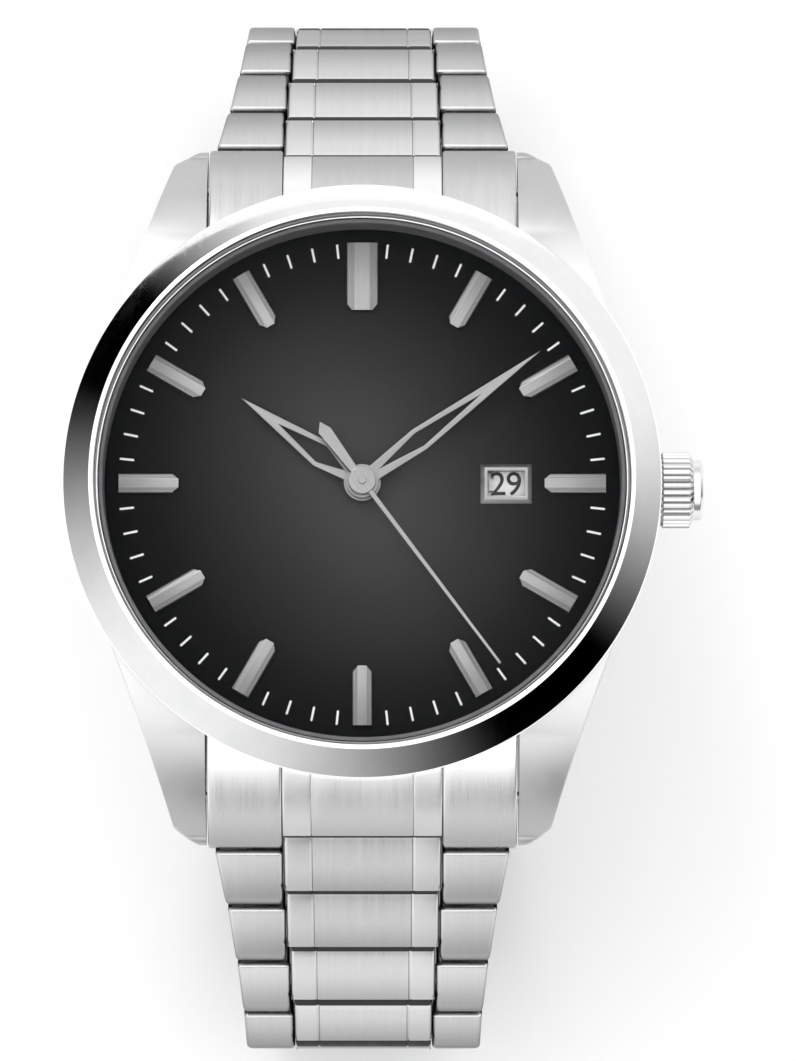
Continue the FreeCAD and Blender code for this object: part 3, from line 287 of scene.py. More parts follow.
# Tuples of axis, start, end and share paint shade that deepens toward a piece's far end; away, or a final True,
# paints shade where a surface turns from the viewer.
M = {
    "polished": polished("polished_steel", STEEL_LIGHT, STEEL_DARK),
    "bezel": polished("bezel_polish", STEEL_LIGHT, STEEL_DARK, 0.025, 0.06),
    "strip": polished("strip_polish", (0.72, 0.72, 0.725, 1), (0.66, 0.66, 0.67, 1), 0.30, 0.38,
                      ("X", 1.2, 6.4, 0.68), True),
    "case": polished("case_polish", (0.69, 0.69, 0.695, 1), (0.645, 0.645, 0.655, 1), 0.38, 0.46,
                     ("Y", 14, 25, 0.66)),
    "crown": polished("crown_polish", (0.74, 0.74, 0.745, 1), (0.68, 0.68, 0.69, 1), 0.08, 0.14),
    "brushed_x": brushed("brushed_along_link", (0.72, 0.72, 0.725, 1), (0.62, 0.625, 0.63, 1), (1, 0, 0),
                         painted_shade=("X", 1.2, 6.4, 0.50), away=True),
    "brushed_y": brushed("brushed_lengthwise", (0.68, 0.68, 0.685, 1), (0.58, 0.585, 0.59, 1), (0, 1, 0),
                         painted_shade=("Y", 20.0, 25.0, 0.50)),
    # A lighter copy of the end-link brushed steel, for the end link at six: painted light.
    "brushed_low_painted_light": brushed("brushed_lower_end_painted_light", (0.93, 0.93, 0.935, 1), (0.84, 0.845, 0.85, 1), (0, 1, 0),
                           painted_shade=("Y", 20.8, 25.0, 0.42)),
    "strip_end": polished("end_link_strip", (0.90, 0.90, 0.905, 1), (0.84, 0.84, 0.85, 1), 0.30, 0.38,
                          ("Y", 20.8, 25.0, 0.55)),
    "brushed_clasp": brushed("brushed_clasp", (0.66, 0.66, 0.665, 1), (0.50, 0.505, 0.51, 1), (0, 1, 0)),
    # Darker copy of the link steel for the side links' end faces: painted shade.
    "end_face": lacquer("end_face", grey(0.36), grey(0.22), 0.55, 2500.0, 1.0),
    "satin": brushed("satin_hands", grey(0.40), grey(0.30), (0, 1, 0), 0.28, 0.42, 0.05),
    "marker_top": brushed("satin_markers", grey(0.40), grey(0.30), (0, 1, 0), 0.25, 0.38, 0.05,
                          ("Y", 13.0, 17.2, 0.6)),
    # Lighter and darker copies of the marker steel: a painted highlight on the rim and painted shade on the
    # flanges.
    "marker_edge": brushed("marker_edge", grey(0.56), grey(0.48), (0, 1, 0), 0.3, 0.4, 0.02),
    "marker_flange": brushed("marker_flange", grey(0.27), grey(0.20), (0, 1, 0), 0.3, 0.42, 0.04,
                             ("Y", 13.0, 17.2, 0.7)),
    "frame": brushed("satin_frame", grey(0.42), grey(0.34), (1, 0, 0), 0.26, 0.36, 0.04),
    # Darker turned steel for the crown's flutes: painted shade.
    "groove": turned_metal("groove_painted_shade", grey(0.36), grey(0.24), 0.3, 0.45),
    # Near-black for the gaps between centre pieces: painted shade.
    "gap_painted_shade": lacquer("gap_painted_shade_black", grey(0.016), grey(0.008), 0.6),
    "turned": turned_metal("turned_steel", STEEL_LIGHT, (0.78, 0.785, 0.79, 1)),
    "rhodium": striped("striped_rhodium", (0.86, 0.86, 0.85, 1), grey(0.62)),
    "plate": turned_metal("grained_plate", (0.80, 0.79, 0.77, 1), (0.60, 0.59, 0.57, 1), 0.3, 0.45, 5000.0),
    "rotor": turned_metal("rotor_metal", grey(0.80), (0.56, 0.56, 0.57, 1), 0.22, 0.36, 4000.0),
    "brass": turned_metal("gilt_brass", (0.92, 0.72, 0.36, 1), (0.74, 0.53, 0.22, 1), 0.18, 0.32),
    "blued": polished("blued_screws", (0.10, 0.16, 0.42, 1), (0.05, 0.08, 0.25, 1), 0.10, 0.18),
    "dial": dial_black(),
    "print": lacquer("white_print", grey(0.92), grey(0.80), 0.45),
    "date_white": lacquer("date_white", grey(0.80), grey(0.72), 0.5),
    "numeral": lacquer("numeral_black", grey(0.015), grey(0.006), 0.4),
    "rehaut": lacquer("rehaut_grey", (0.15, 0.15, 0.155, 1), (0.11, 0.11, 0.115, 1), 0.35),
    "rubber": lacquer("gasket_nylon", (0.24, 0.24, 0.245, 1), (0.19, 0.19, 0.195, 1), 0.6),
    "holder": lacquer("holder_plastic", (0.62, 0.63, 0.62, 1), (0.52, 0.53, 0.52, 1), 0.45),
    "glass": clear_glass("sapphire", 0.03),
    "back_glass": clear_glass("back_sapphire", 0.10),
    "ruby": ruby(),
}


# ---- Mesh helpers -------------------------------------------------------------------------
def make(name, vertices, faces, material, body, replaced=(), slot=None, angle=32.0, matrix=None):
    """New piece from millimetre points; it rides on a body and may stand for CAD nodes."""
    mesh = bpy.data.meshes.new(name)
    mesh.from_pydata([(x * MM, y * MM, z * MM) for x, y, z in vertices], [], faces)
    work = bmesh.new()
    work.from_mesh(mesh)
    bmesh.ops.remove_doubles(work, verts=work.verts, dist=1e-7)
    bmesh.ops.recalc_face_normals(work, faces=work.faces)
    work.to_mesh(mesh)
    work.free()
    return finish_piece(name, mesh, material, body, replaced, slot, angle, matrix)


def finish_piece(name, mesh, material, body, replaced=(), slot=None, angle=32.0, matrix=None):
    piece = bpy.data.objects.new(name, mesh)
    bpy.context.scene.collection.objects.link(piece)
    mesh.shade_smooth()
    mesh.set_sharp_from_angle(angle=radians(angle))
    materials = material if isinstance(material, (list, tuple)) else [material]
    for m in materials:
        mesh.materials.append(M[m])
    if matrix is not None:
        piece.matrix_world = matrix
    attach(piece, body)
    if replaced:
        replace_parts(piece, *replaced)
    return piece


def rounded(points, radius, steps=4, support=True, least=20):
    """Closed outline with each real corner turned into a small arc, with support points beside it."""
    out = []
    for i, here in enumerate(points):
        here = Vector(here)
        back, ahead = Vector(points[i - 1]) - here, Vector(points[(i + 1) % len(points)]) - here
        turn = pi - back.angle(ahead)
        if turn < radians(least) or min(back.length, ahead.length) < 1e-6:
            out.append(tuple(here))
            continue
        cut = min(radius * tan(turn / 2), 0.45 * back.length, 0.45 * ahead.length)
        start, end = here + back.normalized() * cut, here + ahead.normalized() * cut
        if support and back.length > 4 * cut:
            out.append(tuple(start + back.normalized() * cut * 0.4))
        for k in range(steps + 1):
            t = k / steps
            out.append(tuple(start * (1 - t) ** 2 + here * (2 * t * (1 - t)) + end * t ** 2))
        if support and ahead.length > 4 * cut:
            out.append(tuple(end + ahead.normalized() * cut * 0.4))
    return out


def lathe(profile, steps=256):
    """Closed outline of (radius, height) turned about Z: vertices and faces."""
    count = len(profile)
    vertices, faces = [], []
    for j in range(steps):
        a = 2 * pi * j / steps
        vertices += [(r * cos(a), r * sin(a), z) for r, z in profile]
        for i in range(count):
            k, m = (j + 1) % steps * count, (i + 1) % count
            faces.append((j * count + i, k + i, k + m, j * count + m))
    return vertices, faces


def inset(outline, distance):
    """Closed outline moved inward; its points run anticlockwise."""
    if not distance:
        return list(outline)
    out = []
    for i, here in enumerate(outline):
        before, after = outline[i - 1], outline[(i + 1) % len(outline)]
        e1, e2 = (Vector(here) - Vector(before)).normalized(), (Vector(after) - Vector(here)).normalized()
        normal = Vector((-(e1.y + e2.y), e1.x + e2.x))
        if normal.length < 1e-9:
            out.append(here)
            continue
        normal.normalize()
        share = max(0.5, normal.dot(Vector((-e1.y, e1.x))))
        out.append((here[0] + normal.x * distance / share, here[1] + normal.y * distance / share))
    return out


def anticlockwise(outline):
    area = sum(a[0] * b[1] - b[0] * a[1] for a, b in zip(outline, outline[1:] + outline[:1]))
    return outline if area > 0 else outline[::-1]


def loft(outlines, places):
    """Solid through outlines (lists of (u, w)) at places along x; a place is a number or function of u."""
    vertices, faces = [], []
    count = len(outlines[0])
    for outline, place in zip(outlines, places):
        for u, w in outline:
            vertices.append((u, place(u) if callable(place) else place, w))
    for j in range(len(outlines) - 1):
        for i in range(count):
            m = (i + 1) % count
            faces.append((j * count + i, j * count + m, (j + 1) * count + m, (j + 1) * count + i))
    faces.append(tuple(range(count)))
    faces.append(tuple((len(outlines) - 1) * count + i for i in reversed(range(count))))
    return vertices, faces


def arc(centre, radius, start, end, steps=10):
    return [(centre[0] + radius * cos(radians(start + (end - start) * k / steps)),
             centre[1] + radius * sin(radians(start + (end - start) * k / steps))) for k in range(steps + 1)]


def remastered(node, material, bevel=0.04, slot=None, segments=2, flat=1.0, angle=30.0, turn=0.0,
               smooth=34.0):
    """Copy of a CAD node with coplanar faces merged and its edges softly bevelled.

    turn is the heading of the piece's own axes; edges under smooth degrees are shaded smooth.
    """
    source = NODES[node].data
    work = bmesh.new()
    work.from_mesh(source)
    bmesh.ops.remove_doubles(work, verts=work.verts, dist=2e-6)
    bmesh.ops.dissolve_limit(work, angle_limit=radians(flat), verts=work.verts, edges=work.edges)
    mesh = bpy.data.meshes.new(node + "_finished")
    work.to_mesh(mesh)
    work.free()
    mesh.materials.clear()
    piece = bpy.data.objects.new(node + "_finished", mesh)
    bpy.context.scene.collection.objects.link(piece)
    edge = piece.modifiers.new("edge", "BEVEL")
    edge.width = bevel * MM
    edge.segments = segments
    edge.limit_method = "ANGLE"
    edge.angle_limit = radians(angle)
    edge.use_clamp_overlap = True
    edge.harden_normals = False
    bpy.context.view_layer.update()
    done = bpy.data.meshes.new_from_object(piece.evaluated_get(bpy.context.evaluated_depsgraph_get()))
    bpy.data.objects.remove(piece)
    for attribute in ("custom_normal", "sharp_edge", "sharp_face"):
        if attribute in done.attributes:
            done.attributes.remove(done.attributes[attribute])
    heading = Matrix.Rotation(radians(turn), 4, "Z")
    done.transform(heading.inverted())
    return finish_piece(node + "_finished", done, material, BODY_OF_NODE[node], [node], slot, smooth, heading)


# ---- Case, bezel and crystal --------------------------------------------------------------
BEZEL = [(18.5, 8.8), (20.9, 8.8), (21.0, 8.92), (21.0, 9.08), (20.93, 9.2), (19.25, 10.68), (19.1, 10.8),
         (18.85, 10.8), (18.72, 10.68), (18.72, 9.75), (18.5, 9.75)]
make("bezel_ring", *lathe(rounded(BEZEL, 0.12, 3, least=8)), "bezel", "case", ["bezel"], "bezel_steel")
CRYSTAL = [(0.0, 9.8), (18.6, 9.8), (18.6, 10.6), (18.3, 10.95), (0.0, 10.95)]
make("crystal_disc", *lathe(rounded(CRYSTAL, 0.05, 2)), "glass", "case", ["crystal"], "sapphire")
REHAUT = [(18.1, 7.25), (18.65, 7.25), (18.65, 8.75), (18.45, 8.75), (18.45, 9.7), (18.22, 9.7), (18.16, 9.62)]
make("rehaut_flange", *lathe(rounded(REHAUT, 0.03, 2)), "rehaut", "case", ["rehaut_ring"], "rehaut")
remastered("case_middle", "case", 0.22, "case_steel", 3, 1.0, 28.0)


# ---- Dial, markers and hands --------------------------------------------------------------
NODES["dial"].data.materials.clear()
NODES["dial"].data.materials.append(M["dial"])


def minute_track():
    """Printed minute lines, left out where an hour marker stands."""
    vertices, faces = [], []
    for minute in range(60):
        if minute % 5 == 0:
            continue
        a = radians(90 - 6 * minute)
        along, across = Vector((cos(a), sin(a))), Vector((-sin(a), cos(a)))
        base = len(vertices)
        for z in (7.2, 7.225):
            for r, side in ((16.12, -0.075), (17.12, -0.075), (17.12, 0.075), (16.12, 0.075)):
                p = along * r + across * side
                vertices.append((p.x, p.y, z))
        faces += [(base + a_, base + b_, base + c_, base + d_) for a_, b_, c_, d_ in
                  ((0, 1, 2, 3), (4, 5, 6, 7), (0, 1, 5, 4), (1, 2, 6, 5), (2, 3, 7, 6), (3, 0, 4, 7))]
    return vertices, faces


make("minute_track", *minute_track(), "print", "case", slot="dial_black")


def hour_marker(name, inner, outer, half, hour):
    """Baton along its own +Y: raised satin top, sloping flanges with painted shade and a rim with a painted
    highlight.
    """
    rim, flange = 0.05, 0.5 * half
    section = [(-half, 0.0), (-half, 0.40), (-half + rim, 0.44), (-half + rim + 0.01, 0.44),
               (-half + flange - 0.03, 0.50), (-half + flange, 0.512), (-half + flange + 0.05, 0.52)]
    section += [(-x, z) for x, z in reversed(section)]
    stations = [(inner, half - 0.36), (inner + 0.04, half - 0.33), (inner + 0.40, half), (outer, half)]
    rows = [[(max(-reach, min(reach, x)), 7.2 + z) for x, z in section] for _, reach in stations]
    piece = make(name, *loft(rows, [y for y, _ in stations]), ["marker_top", "marker_edge", "marker_flange"],
                 "case", slot="applied_markers", matrix=Matrix.Rotation(radians(-30 * hour), 4, "Z"))
    # Rim faces take the painted highlight, flange faces the painted shade.
    for face in piece.data.polygons:
        x = abs(face.center.x / MM)
        face.material_index = 1 if x > half - rim else 2 if x > half - flange + 0.01 else 0
    return piece


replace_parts(hour_marker("marker_12", 12.3, 17.1, 1.08, 0), "hour_markers")
for hour in range(1, 12):
    hour_marker("marker_%d" % hour, 12.8 if hour == 3 else 12.9, 17.1, 0.66, hour)
remastered("date_frame", "frame", 0.04, "applied_markers", smooth=20.0)
# Where each hand points, in degrees clockwise from twelve, and its edge's bevel.
for hand, heading, bevel in (("hour_hand", 305.2, 0.035), ("minute_hand", 53.5, 0.035),
                             ("seconds_hand", 143.2, 0.03)):
    remastered(hand, "satin", bevel, "hand_steel", turn=-heading, smooth=20.0)


DAYS, SHOWN_DAY = 31, 29
NUMERAL_RADIUS = 10.1
NUMERAL_LEVEL = 6.606         # just over the top of the date ring


def date_numerals():
    """Plain numerals round the date ring, with the shown day in the window."""
    for day in range(1, DAYS + 1):
        text = bpy.data.curves.new("day", "FONT")
        text.body = str(day)
        text.size = 2.35 * MM
        text.extrude = 0.006 * MM
        text.offset = 0.012 * MM
        text.align_x = "CENTER"
        text.align_y = "CENTER"
        text.space_character = 0.95
        holder = bpy.data.objects.new("day", text)
        bpy.context.scene.collection.objects.link(holder)
        turn = Matrix.Rotation(radians(360.0 * (SHOWN_DAY - day) / DAYS), 4, "Z")
        holder.matrix_world = turn @ Matrix.Translation((NUMERAL_RADIUS * MM, 0, NUMERAL_LEVEL * MM))
        bpy.context.view_layer.update()
        mesh = bpy.data.meshes.new_from_object(holder.evaluated_get(bpy.context.evaluated_depsgraph_get()))
        mesh.transform(holder.matrix_world)
        bpy.data.objects.remove(holder)
        yield mesh


def joined(meshes, name):
    work = bmesh.new()
    for mesh in meshes:
        work.from_mesh(mesh)
    whole = bpy.data.meshes.new(name)
    work.to_mesh(whole)
    work.free()
    return whole


finish_piece("date_numerals", joined(date_numerals(), "date_numerals"), "numeral", BODY_OF_NODE["date_ring"],
             slot="date_white")


# ---- Crown --------------------------------------------------------------------------------
CROWN_LEVEL = 4.0
FLUTES = 32


def crown():
    """Fluted crown turned about +X, with a plain bevelled cap."""
    profile = rounded([(21.0, 0.62), (21.0, 2.5), (21.18, 2.7), (23.05, 2.7), (23.3, 2.2), (23.36, 2.14),
                       (23.8, 2.14), (23.98, 1.98), (24.05, 1.2), (24.07, 0.0), (22.9, 0.0), (22.9, 0.62)], 0.08, 3)
    per_flute = 12
    steps = FLUTES * per_flute
    vertices, faces, fine = [], [], []
    for a, b in zip(profile, profile[1:] + profile[:1]):
        parts = 6 if abs(a[0] - b[0]) > 0.6 and a[1] > 2 else 1
        fine += [(a[0] + (b[0] - a[0]) * k / parts, a[1] + (b[1] - a[1]) * k / parts) for k in range(parts)]
    for j in range(steps):
        angle = 2 * pi * j / steps
        phase = j % per_flute / per_flute
        groove = max(0.0, 1 - abs(phase - 0.5) / 0.27)
        depth = 0.17 * sqrt(groove) if groove > 0 else 0.0
        for x, r in fine:
            reach = min(1.0, max(0.0, (r - 2.28) / 0.3)) if x > 21.02 and x < 23.3 else 0.0
            radius = r - depth * reach
            vertices.append((x, radius * cos(angle), CROWN_LEVEL + radius * sin(angle)))
    count = len(fine)
    for j in range(steps):
        for i in range(count):
            k, m = (j + 1) % steps * count, (i + 1) % count
            faces.append((j * count + i, k + i, k + m, j * count + m))
    return vertices, faces


knob = make("crown_knob", *crown(), ["crown", "groove"], "crown_and_stem", ["crown"], "crown_steel", angle=40)
# Faces in the flutes get the darker steel as painted shade.
for face in knob.data.polygons:
    x, y, z = face.center / MM
    z -= CROWN_LEVEL
    in_groove = abs(degrees(atan2(z, y)) * FLUTES / 360 % 1.0 - 0.5) < 0.16
    face.material_index = 1 if in_groove and 21.1 < x < 23.25 and sqrt(y * y + z * z) > 2.3 else 0


# ---- Bracelet -----------------------------------------------------------------------------
LINK_PITCH = 5.7              # from hinge to hinge
HALF = 1.5                    # half a link's thickness
SOCKET = 1.66                 # radius of the hollow round a nose
NOSE = 1.44                   # radius of a centre piece's nose
CENTRE_LIP = 0.78             # from a hinge back to the end of a centre piece
# Each link's slope below the horizontal, then the widths at its hinges, from the case outward.
ANGLES = [51, 51, 55, 67, 94, 125, 150, 172]
WIDTHS = [21.1, 19.4, 18.1, 17.2, 16.9, 16.7, 16.6, 16.6, 16.6]
CENTRES = [11.1, 10.8, 10.3, 9.9, 9.8, 9.7, 9.7, 9.7, 9.6]
BAND_SHARE = 0.325            # half width of the brushed band, as a share of the centre piece


def hinges():
    points = [(23.5, 0.3)]
    for angle in ANGLES:
        y, z = points[-1]
        points.append((y + LINK_PITCH * cos(radians(angle)), z - LINK_PITCH * sin(radians(angle))))
    return points


HINGES = hinges()


def link_matrix(index, side):
    """Place of a link: X along the bracelet, Z outward, with its own hinge at the origin."""
    slope = radians(ANGLES[index])
    y, z = HINGES[index]
    along = Vector((0, side * cos(slope), -sin(slope)))
    outward = Vector((0, side * sin(slope), cos(slope)))
    across = outward.cross(along)
    return Matrix(((along.x, across.x, outward.x, 0), (along.y, across.y, outward.y, side * y * MM),
                   (along.z, across.z, outward.z, z * MM), (0, 0, 0, 1)))


def side_outline(start):
    """Outer link from the side, anticlockwise: hollow start and a round nose at the next hinge."""
    hollow = degrees(atan2(sqrt(SOCKET ** 2 - start ** 2), start))
    points = [(LINK_PITCH - 0.2, -HALF)] + arc((LINK_PITCH, 0), HALF, -88, 88, 14) + [(LINK_PITCH - 0.2, HALF)]
    points += [(u, HALF) for u in (4.6, 3.4, 2.2)]
    points += [(start, HALF)] + arc((0, 0), SOCKET, hollow, -hollow, 10) + [(start, -HALF)]
    return anticlockwise(rounded(points, 0.22, 4))


def centre_outline(flat_end):
    """Centre link from the side: round nose at its own hinge, hollow or flat far end."""
    p = LINK_PITCH
    if flat_end:
        end = [(p - HALF - 0.4, -HALF), (p - HALF - 0.4, HALF)]
    else:
        hollow = degrees(atan2(sqrt(SOCKET ** 2 - CENTRE_LIP ** 2), CENTRE_LIP))
        end = [(p - CENTRE_LIP, -HALF)] + arc((p, 0), SOCKET, 180 + hollow, 180 - hollow, 10)
        end += [(p - CENTRE_LIP, HALF)]
    points = [(0.30, -HALF), (2.6, -HALF)] + end + [(2.6, HALF), (0.30, HALF)] + arc((0, 0), NOSE, 96, 264, 22)
    return anticlockwise(rounded(points, 0.2, 4))


def rounding(width, steps=4):
    """Pairs of (offset from the end face, inset) for a quarter-round edge."""
    return [(width * (1 - cos(pi / 2 * k / steps)), width * (1 - sin(pi / 2 * k / steps)))
            for k in range(steps + 1)]


def side_piece(name, index, side, hand, body):
    """One outer link; hand is +1 or -1 for the side it is on."""
    inner = max(CENTRES[index], CENTRES[index + 1]) / 2 + 0.1
    half, next_half = WIDTHS[index] / 2, WIDTHS[index + 1] / 2

    def outer(u):
        share = min(1.0, max(0.0, u / (LINK_PITCH + 1.0)))
        return half + (next_half - half) * share

    outline = side_outline(1.2)
    edge = rounding(0.3)
    shapes = [inset(outline, depth) for _, depth in edge + edge[::-1]]
    places = [lambda u, off=off: hand * (inner + off) for off, _ in edge]
    places += [lambda u, off=off: hand * (outer(u) - off) for off, _ in reversed(edge)]
    piece = make(name, *loft(shapes, places), ["brushed_x", "end_face"], body, slot="bracelet_steel",
                 matrix=link_matrix(index, side), angle=40)
    # End faces near the hollow start get the darker steel as painted shade.
    for face in piece.data.polygons:
        face.material_index = 1 if face.center.x < 1.32 * MM and face.center.z < 1.28 * MM else 0
    return piece


def centre_piece(name, index, side, body):
    """Centre link with a brushed band between two polished strips."""
    half = CENTRES[index] / 2
    band = half * 2 * BAND_SHARE
    # The nose's far part and the hollow end are painted near black as shade in the gap between centre pieces; it
    # covers more of the nose on the first three links at twelve.
    painted_shade_start = -0.15 if side > 0 and index < 3 else -0.40
    hollow_start = LINK_PITCH - CENTRE_LIP + 0.02
    outline = centre_outline(side > 0 and index == len(ANGLES) - 1)
    edge = rounding(0.26)
    groove = [(-0.09, 0.0), (-0.03, 0.07), (0.03, 0.07), (0.09, 0.02)]
    stations = [(half - off, depth) for off, depth in edge] + [(half - 0.33, 0.0), (band + 0.16, 0.0)]
    stations += [(band + off, depth) for off, depth in reversed(groove)]
    stations += [(band * k / 6, 0.0) for k in (3, 1, -1, -3)]
    stations += [(-band - off, depth) for off, depth in groove] + [(-band - 0.16, 0.0), (0.33 - half, 0.0)]
    stations += [(off - half, depth) for off, depth in reversed(edge)]
    vertices, faces = loft([inset(outline, depth) for _, depth in stations], [x for x, _ in stations])
    piece = make(name, vertices, faces, ["strip", "brushed_x", "gap_painted_shade"], body, slot="bracelet_steel",
                 matrix=link_matrix(index, side), angle=40)
    for face in piece.data.polygons:
        # Faces on the nose's far part or in the hollow end get near-black painted shade.
        in_painted_shade = face.center.x < painted_shade_start * MM or face.center.x > hollow_start * MM
        face.material_index = 2 if in_painted_shade else 1 if abs(face.center.y) < band * MM else 0
    return piece


for side, row in ((1, "12"), (-1, "6")):
    for index in range(len(ANGLES)):
        node = "link_%s_%d" % (row, index + 1)
        body = BODY_OF_NODE[node]
        middle = centre_piece(node + "_centre", index, side, body)
        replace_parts(middle, node)
        for hand, label in ((1, "left"), (-1, "right")):
            side_piece(node + "_" + label, index, side, hand, body)


# ---- End links ----------------------------------------------------------------------------
def circle_through(a, b, c):
    """Centre and radius of the circle through three points."""
    ax, ay = a
    d = 2 * ((b[0] - ax) * (c[1] - ay) - (c[0] - ax) * (b[1] - ay))
    bb, cc = (b[0] - ax) ** 2 + (b[1] - ay) ** 2, (c[0] - ax) ** 2 + (c[1] - ay) ** 2
    x = ((c[1] - ay) * bb - (b[1] - ay) * cc) / d
    y = ((b[0] - ax) * cc - (c[0] - ax) * bb) / d
    return (ax + x, ay + y), sqrt(x * x + y * y)


SLOPE = radians(ANGLES[0])
HINGE_Y, HINGE_Z = HINGES[0]
TOP = (HINGE_Y + HALF * sin(SLOPE), HINGE_Z + HALF * cos(SLOPE))
CROWN_CENTRE, CROWN_RADIUS = circle_through((16.0, 8.2), (21.25, 5.75), TOP)


def end_outline(x, ear):
    """End link from the side at x: follows the case, the curved top, then a nose or a hollow."""
    start = sqrt(20.5 ** 2 - x * x)
    first = degrees(atan2(sqrt(CROWN_RADIUS ** 2 - (start - CROWN_CENTRE[0]) ** 2), start - CROWN_CENTRE[0]))
    last = degrees(atan2(TOP[1] - CROWN_CENTRE[1], TOP[0] - CROWN_CENTRE[0]))
    if ear:
        nose = arc((HINGE_Y, HINGE_Z), HALF, 90 - ANGLES[0] - 2, -90 - ANGLES[0], 16)
        top = arc(CROWN_CENTRE, CROWN_RADIUS, first, last, 12)
        low = [(21.25, 0.5)]
    else:
        along = Vector((cos(SLOPE), -sin(SLOPE)))
        outward = Vector((sin(SLOPE), cos(SLOPE)))
        height = sqrt(SOCKET ** 2 - CENTRE_LIP ** 2)
        corner = Vector((HINGE_Y, HINGE_Z)) - along * CENTRE_LIP + outward * HALF
        stop = degrees(atan2(corner.y - CROWN_CENTRE[1], corner.x - CROWN_CENTRE[0]))
        top = arc(CROWN_CENTRE, CROWN_RADIUS, first, stop, 12)
        hollow = degrees(atan2(height, CENTRE_LIP))
        nose = arc((HINGE_Y, HINGE_Z), SOCKET, 180 - ANGLES[0] - hollow, 180 - ANGLES[0] + hollow, 16)
        low = [(max(start + 0.3, 21.25), 0.5)]
    foot = [(max(start + 0.1, 20.4), 1.6), (start, 1.6)]
    return rounded(top + nose + low + foot, 0.16, 3, support=False)


def end_part(name, low, high, ear, material, side, node, edges):
    """Part of an end link between two places across; edges are the roundings at low and high."""
    stations = []
    if edges[0]:
        stations += [(low + off, depth) for off, depth in rounding(edges[0])]
    else:
        stations += [(low, 0.0)]
    inner_low, inner_high = stations[-1][0], high - (edges[1] or 0.0)
    stations += [(inner_low + (inner_high - inner_low) * k / 8, 0.0) for k in range(1, 8)]
    if edges[1]:
        stations += [(high - off, depth) for off, depth in reversed(rounding(edges[1]))]
    else:
        stations += [(high, 0.0)]
    outlines = []
    for x, depth in stations:
        points = end_outline(x, ear)
        turned = points[::-1]
        outlines.append(inset(turned, depth))
    vertices, faces = loft(outlines, [x for x, _ in stations])
    matrix = Matrix.Diagonal((1, 1, 1, 1)) if side > 0 else Matrix.Rotation(pi, 4, "Z")
    vertices = [tuple(matrix @ Vector((-x, y, z))) for y, x, z in vertices]
    return make(name, vertices, faces, material, BODY_OF_NODE[node], slot="end_link_steel", angle=40)


for side, node in ((1, "end_link_12"), (-1, "end_link_6")):
    centre_half = CENTRES[0] / 2 + 0.1
    band_half = 3.6
    # The end link at six takes the lighter copy of its brushed steel as painted light.
    finish = "brushed_y" if side > 0 else "brushed_low_painted_light"
    ears = [end_part(node + "_ear_a", centre_half, 10.88, True, finish, side, node, (0.2, 0.2)),
            end_part(node + "_ear_b", -10.88, -centre_half, True, finish, side, node, (0.2, 0.2))]
    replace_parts(ears[0], node)
    end_part(node + "_strip_a", band_half, centre_half - 0.02, False, "strip_end", side, node, (0.08, 0.15))
    end_part(node + "_strip_b", -centre_half + 0.02, -band_half, False, "strip_end", side, node, (0.15, 0.08))
    end_part(node + "_band", -band_half, band_half, False, finish, side, node, (0.08, 0.08))


# ---- CAD nodes that stay, each with its finish --------------------------------------------
FINISHES = {
    "gaskets": "rubber", "case_back": "turned", "case_back_glass": "back_glass", "movement_ring": "holder",
    "crown_tube": "turned", "spring_bars": "turned", "main_plate": "plate", "three_quarter_plate": "rhodium",
    "balance_cock": "rhodium", "movement_screws": "blued", "jewels": "ruby", "barrel": "turned",
    "great_wheel": "brass", "third_wheel": "brass", "fourth_wheel": "turned", "centre_wheel": "turned",
    "minute_wheel": "brass", "hour_wheel": "turned", "escape_wheel": "turned", "pallet_fork": "turned",
    "balance_wheel": "brass", "date_ring": "date_white", "rotor": "rotor", "winding_stem": "turned",
    "winding_pinion": "turned", "setting_lever": "turned",
}
for node, finish in FINISHES.items():
    NODES[node].data.materials.clear()
    NODES[node].data.materials.append(M[finish])
for node in ("clasp_blade_a", "clasp_blade_b", "clasp_cover"):
    remastered(node, "brushed_clasp", 0.12, "clasp_steel")
for node in ("button_left", "button_right"):
    remastered(node, "polished", 0.06, "clasp_steel")


# ---- Stage, light and camera --------------------------------------------------------------
# Dark flags low in the studio: heading in degrees, half width of the full dark, then how far the
# soft edge reaches before and after the heading.
FLAGS = ((-43, 13, 92, 72), (143, 9, 43, 69))


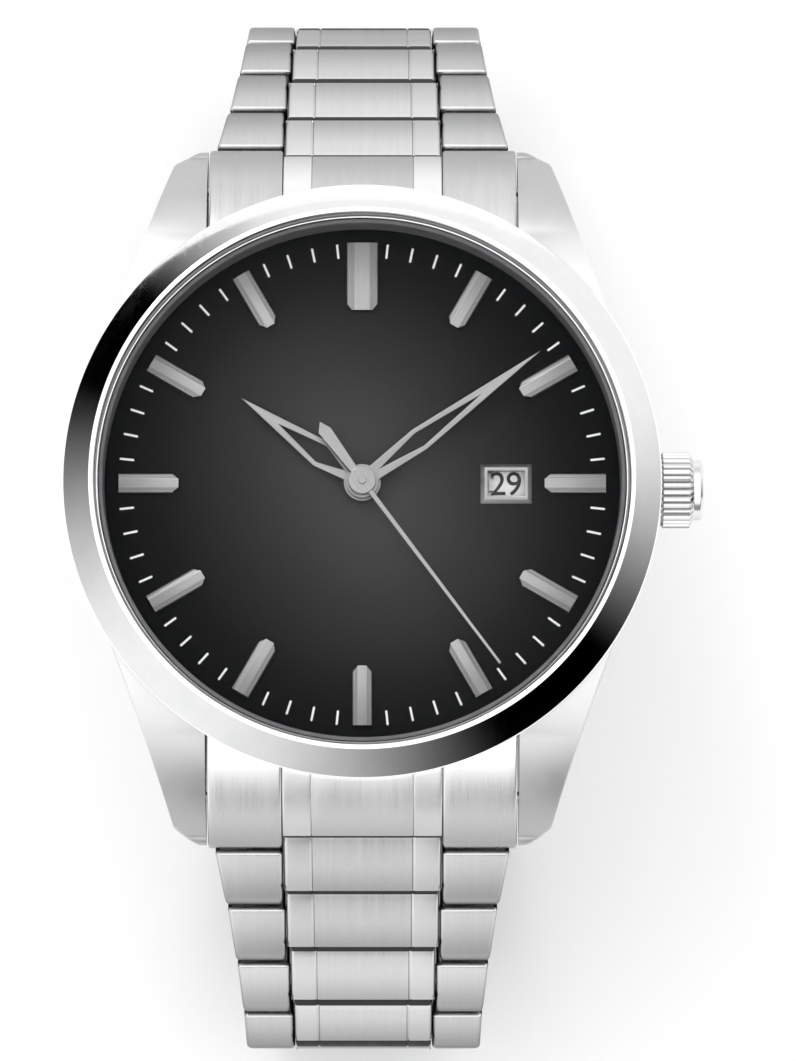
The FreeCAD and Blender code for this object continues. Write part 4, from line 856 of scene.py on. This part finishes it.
def world_light():
    """White studio with two dark flags low down, which the sloping bezel mirrors."""
    world = bpy.data.worlds.new("studio")
    bpy.context.scene.world = world
    world.use_nodes = True
    tree = world.node_tree
    s = Shader.__new__(Shader)
    s.tree = tree
    s.coords = tree.nodes.new("ShaderNodeTexCoord").outputs["Generated"]
    axes = s.node("SeparateXYZ", {0: s.coords})
    heading = s.math("DEGREES", s.math("ARCTAN2", axes.outputs["Y"], axes.outputs["X"]))
    ring = 1.0
    for centre, dark, before, after in FLAGS:
        away = s.math("WRAP", s.math("SUBTRACT", heading, float(centre)), 180.0, -180.0)
        edges = [s.node("MapRange", {"Value": offset, "From Min": float(dark), "From Max": float(reach)},
                        clamp=True, interpolation_type="SMOOTHSTEP").outputs["Result"]
                 for offset, reach in ((away, after), (s.math("MULTIPLY", away, -1.0), before))]
        ring = s.math("MULTIPLY", ring, s.math("MAXIMUM", *edges))
    height = s.node("MapRange", {"Value": axes.outputs["Z"], "From Min": 0.30, "From Max": 0.62}, clamp=True,
                    interpolation_type="SMOOTHSTEP").outputs["Result"]
    mix = s.node("Mix", {0: height, 6: ring, 7: grey(1.5)}, data_type="RGBA")
    background = tree.nodes["Background"]
    tree.links.new(mix.outputs[2], background.inputs["Color"])
    background.inputs["Strength"].default_value = 1.0


def stage_floor():
    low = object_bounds()[0][2]
    mesh = bpy.data.meshes.new("floor")
    mesh.from_pydata([(-3, -3, low), (3, -3, low), (3, 3, low), (-3, 3, low)], [], [(0, 1, 2, 3)])
    floor = bpy.data.objects.new("floor", mesh)
    bpy.context.scene.collection.objects.link(floor)
    s = Shader("pale_floor")
    s.set(Base_Color=tinted(s, s.spread(s.noise(12.0), 0, 1), grey(0.86), grey(0.88)), Roughness=0.9)
    mesh.materials.append(s.material)


def area_light(name, place, target, size, power):
    light = bpy.data.lights.new(name, "AREA")
    light.shape = "DISK"
    light.size = size
    light.energy = power
    lamp = bpy.data.objects.new(name, light)
    bpy.context.scene.collection.objects.link(lamp)
    lamp.location = place
    lamp.rotation_euler = (Vector(target) - Vector(place)).to_track_quat("-Z", "Y").to_euler()


def camera():
    """Nearly overhead, leaning toward six o'clock, with a long lens."""
    distance, elevation, view_height = 0.60, radians(82.15), 0.0740
    target = Vector((0.00251, -0.0038, 0.0108))
    data = bpy.data.cameras.new("camera")
    data.sensor_fit = "VERTICAL"
    data.sensor_height = 24.0
    data.lens = data.sensor_height / 2 / (view_height / 2 / distance)
    data.clip_start = 0.01
    holder = bpy.data.objects.new("camera", data)
    bpy.context.scene.collection.objects.link(holder)
    holder.location = target + Vector((0, -cos(elevation), sin(elevation))) * distance
    holder.rotation_euler = (target - holder.location).to_track_quat("-Z", "Y").to_euler()
    bpy.context.scene.camera = holder


world_light()
stage_floor()
area_light("key", (-0.35, 0.65, 0.75), (0, 0, 0), 0.35, 2.0)
camera()
bpy.context.scene.view_settings.view_transform = "Standard"
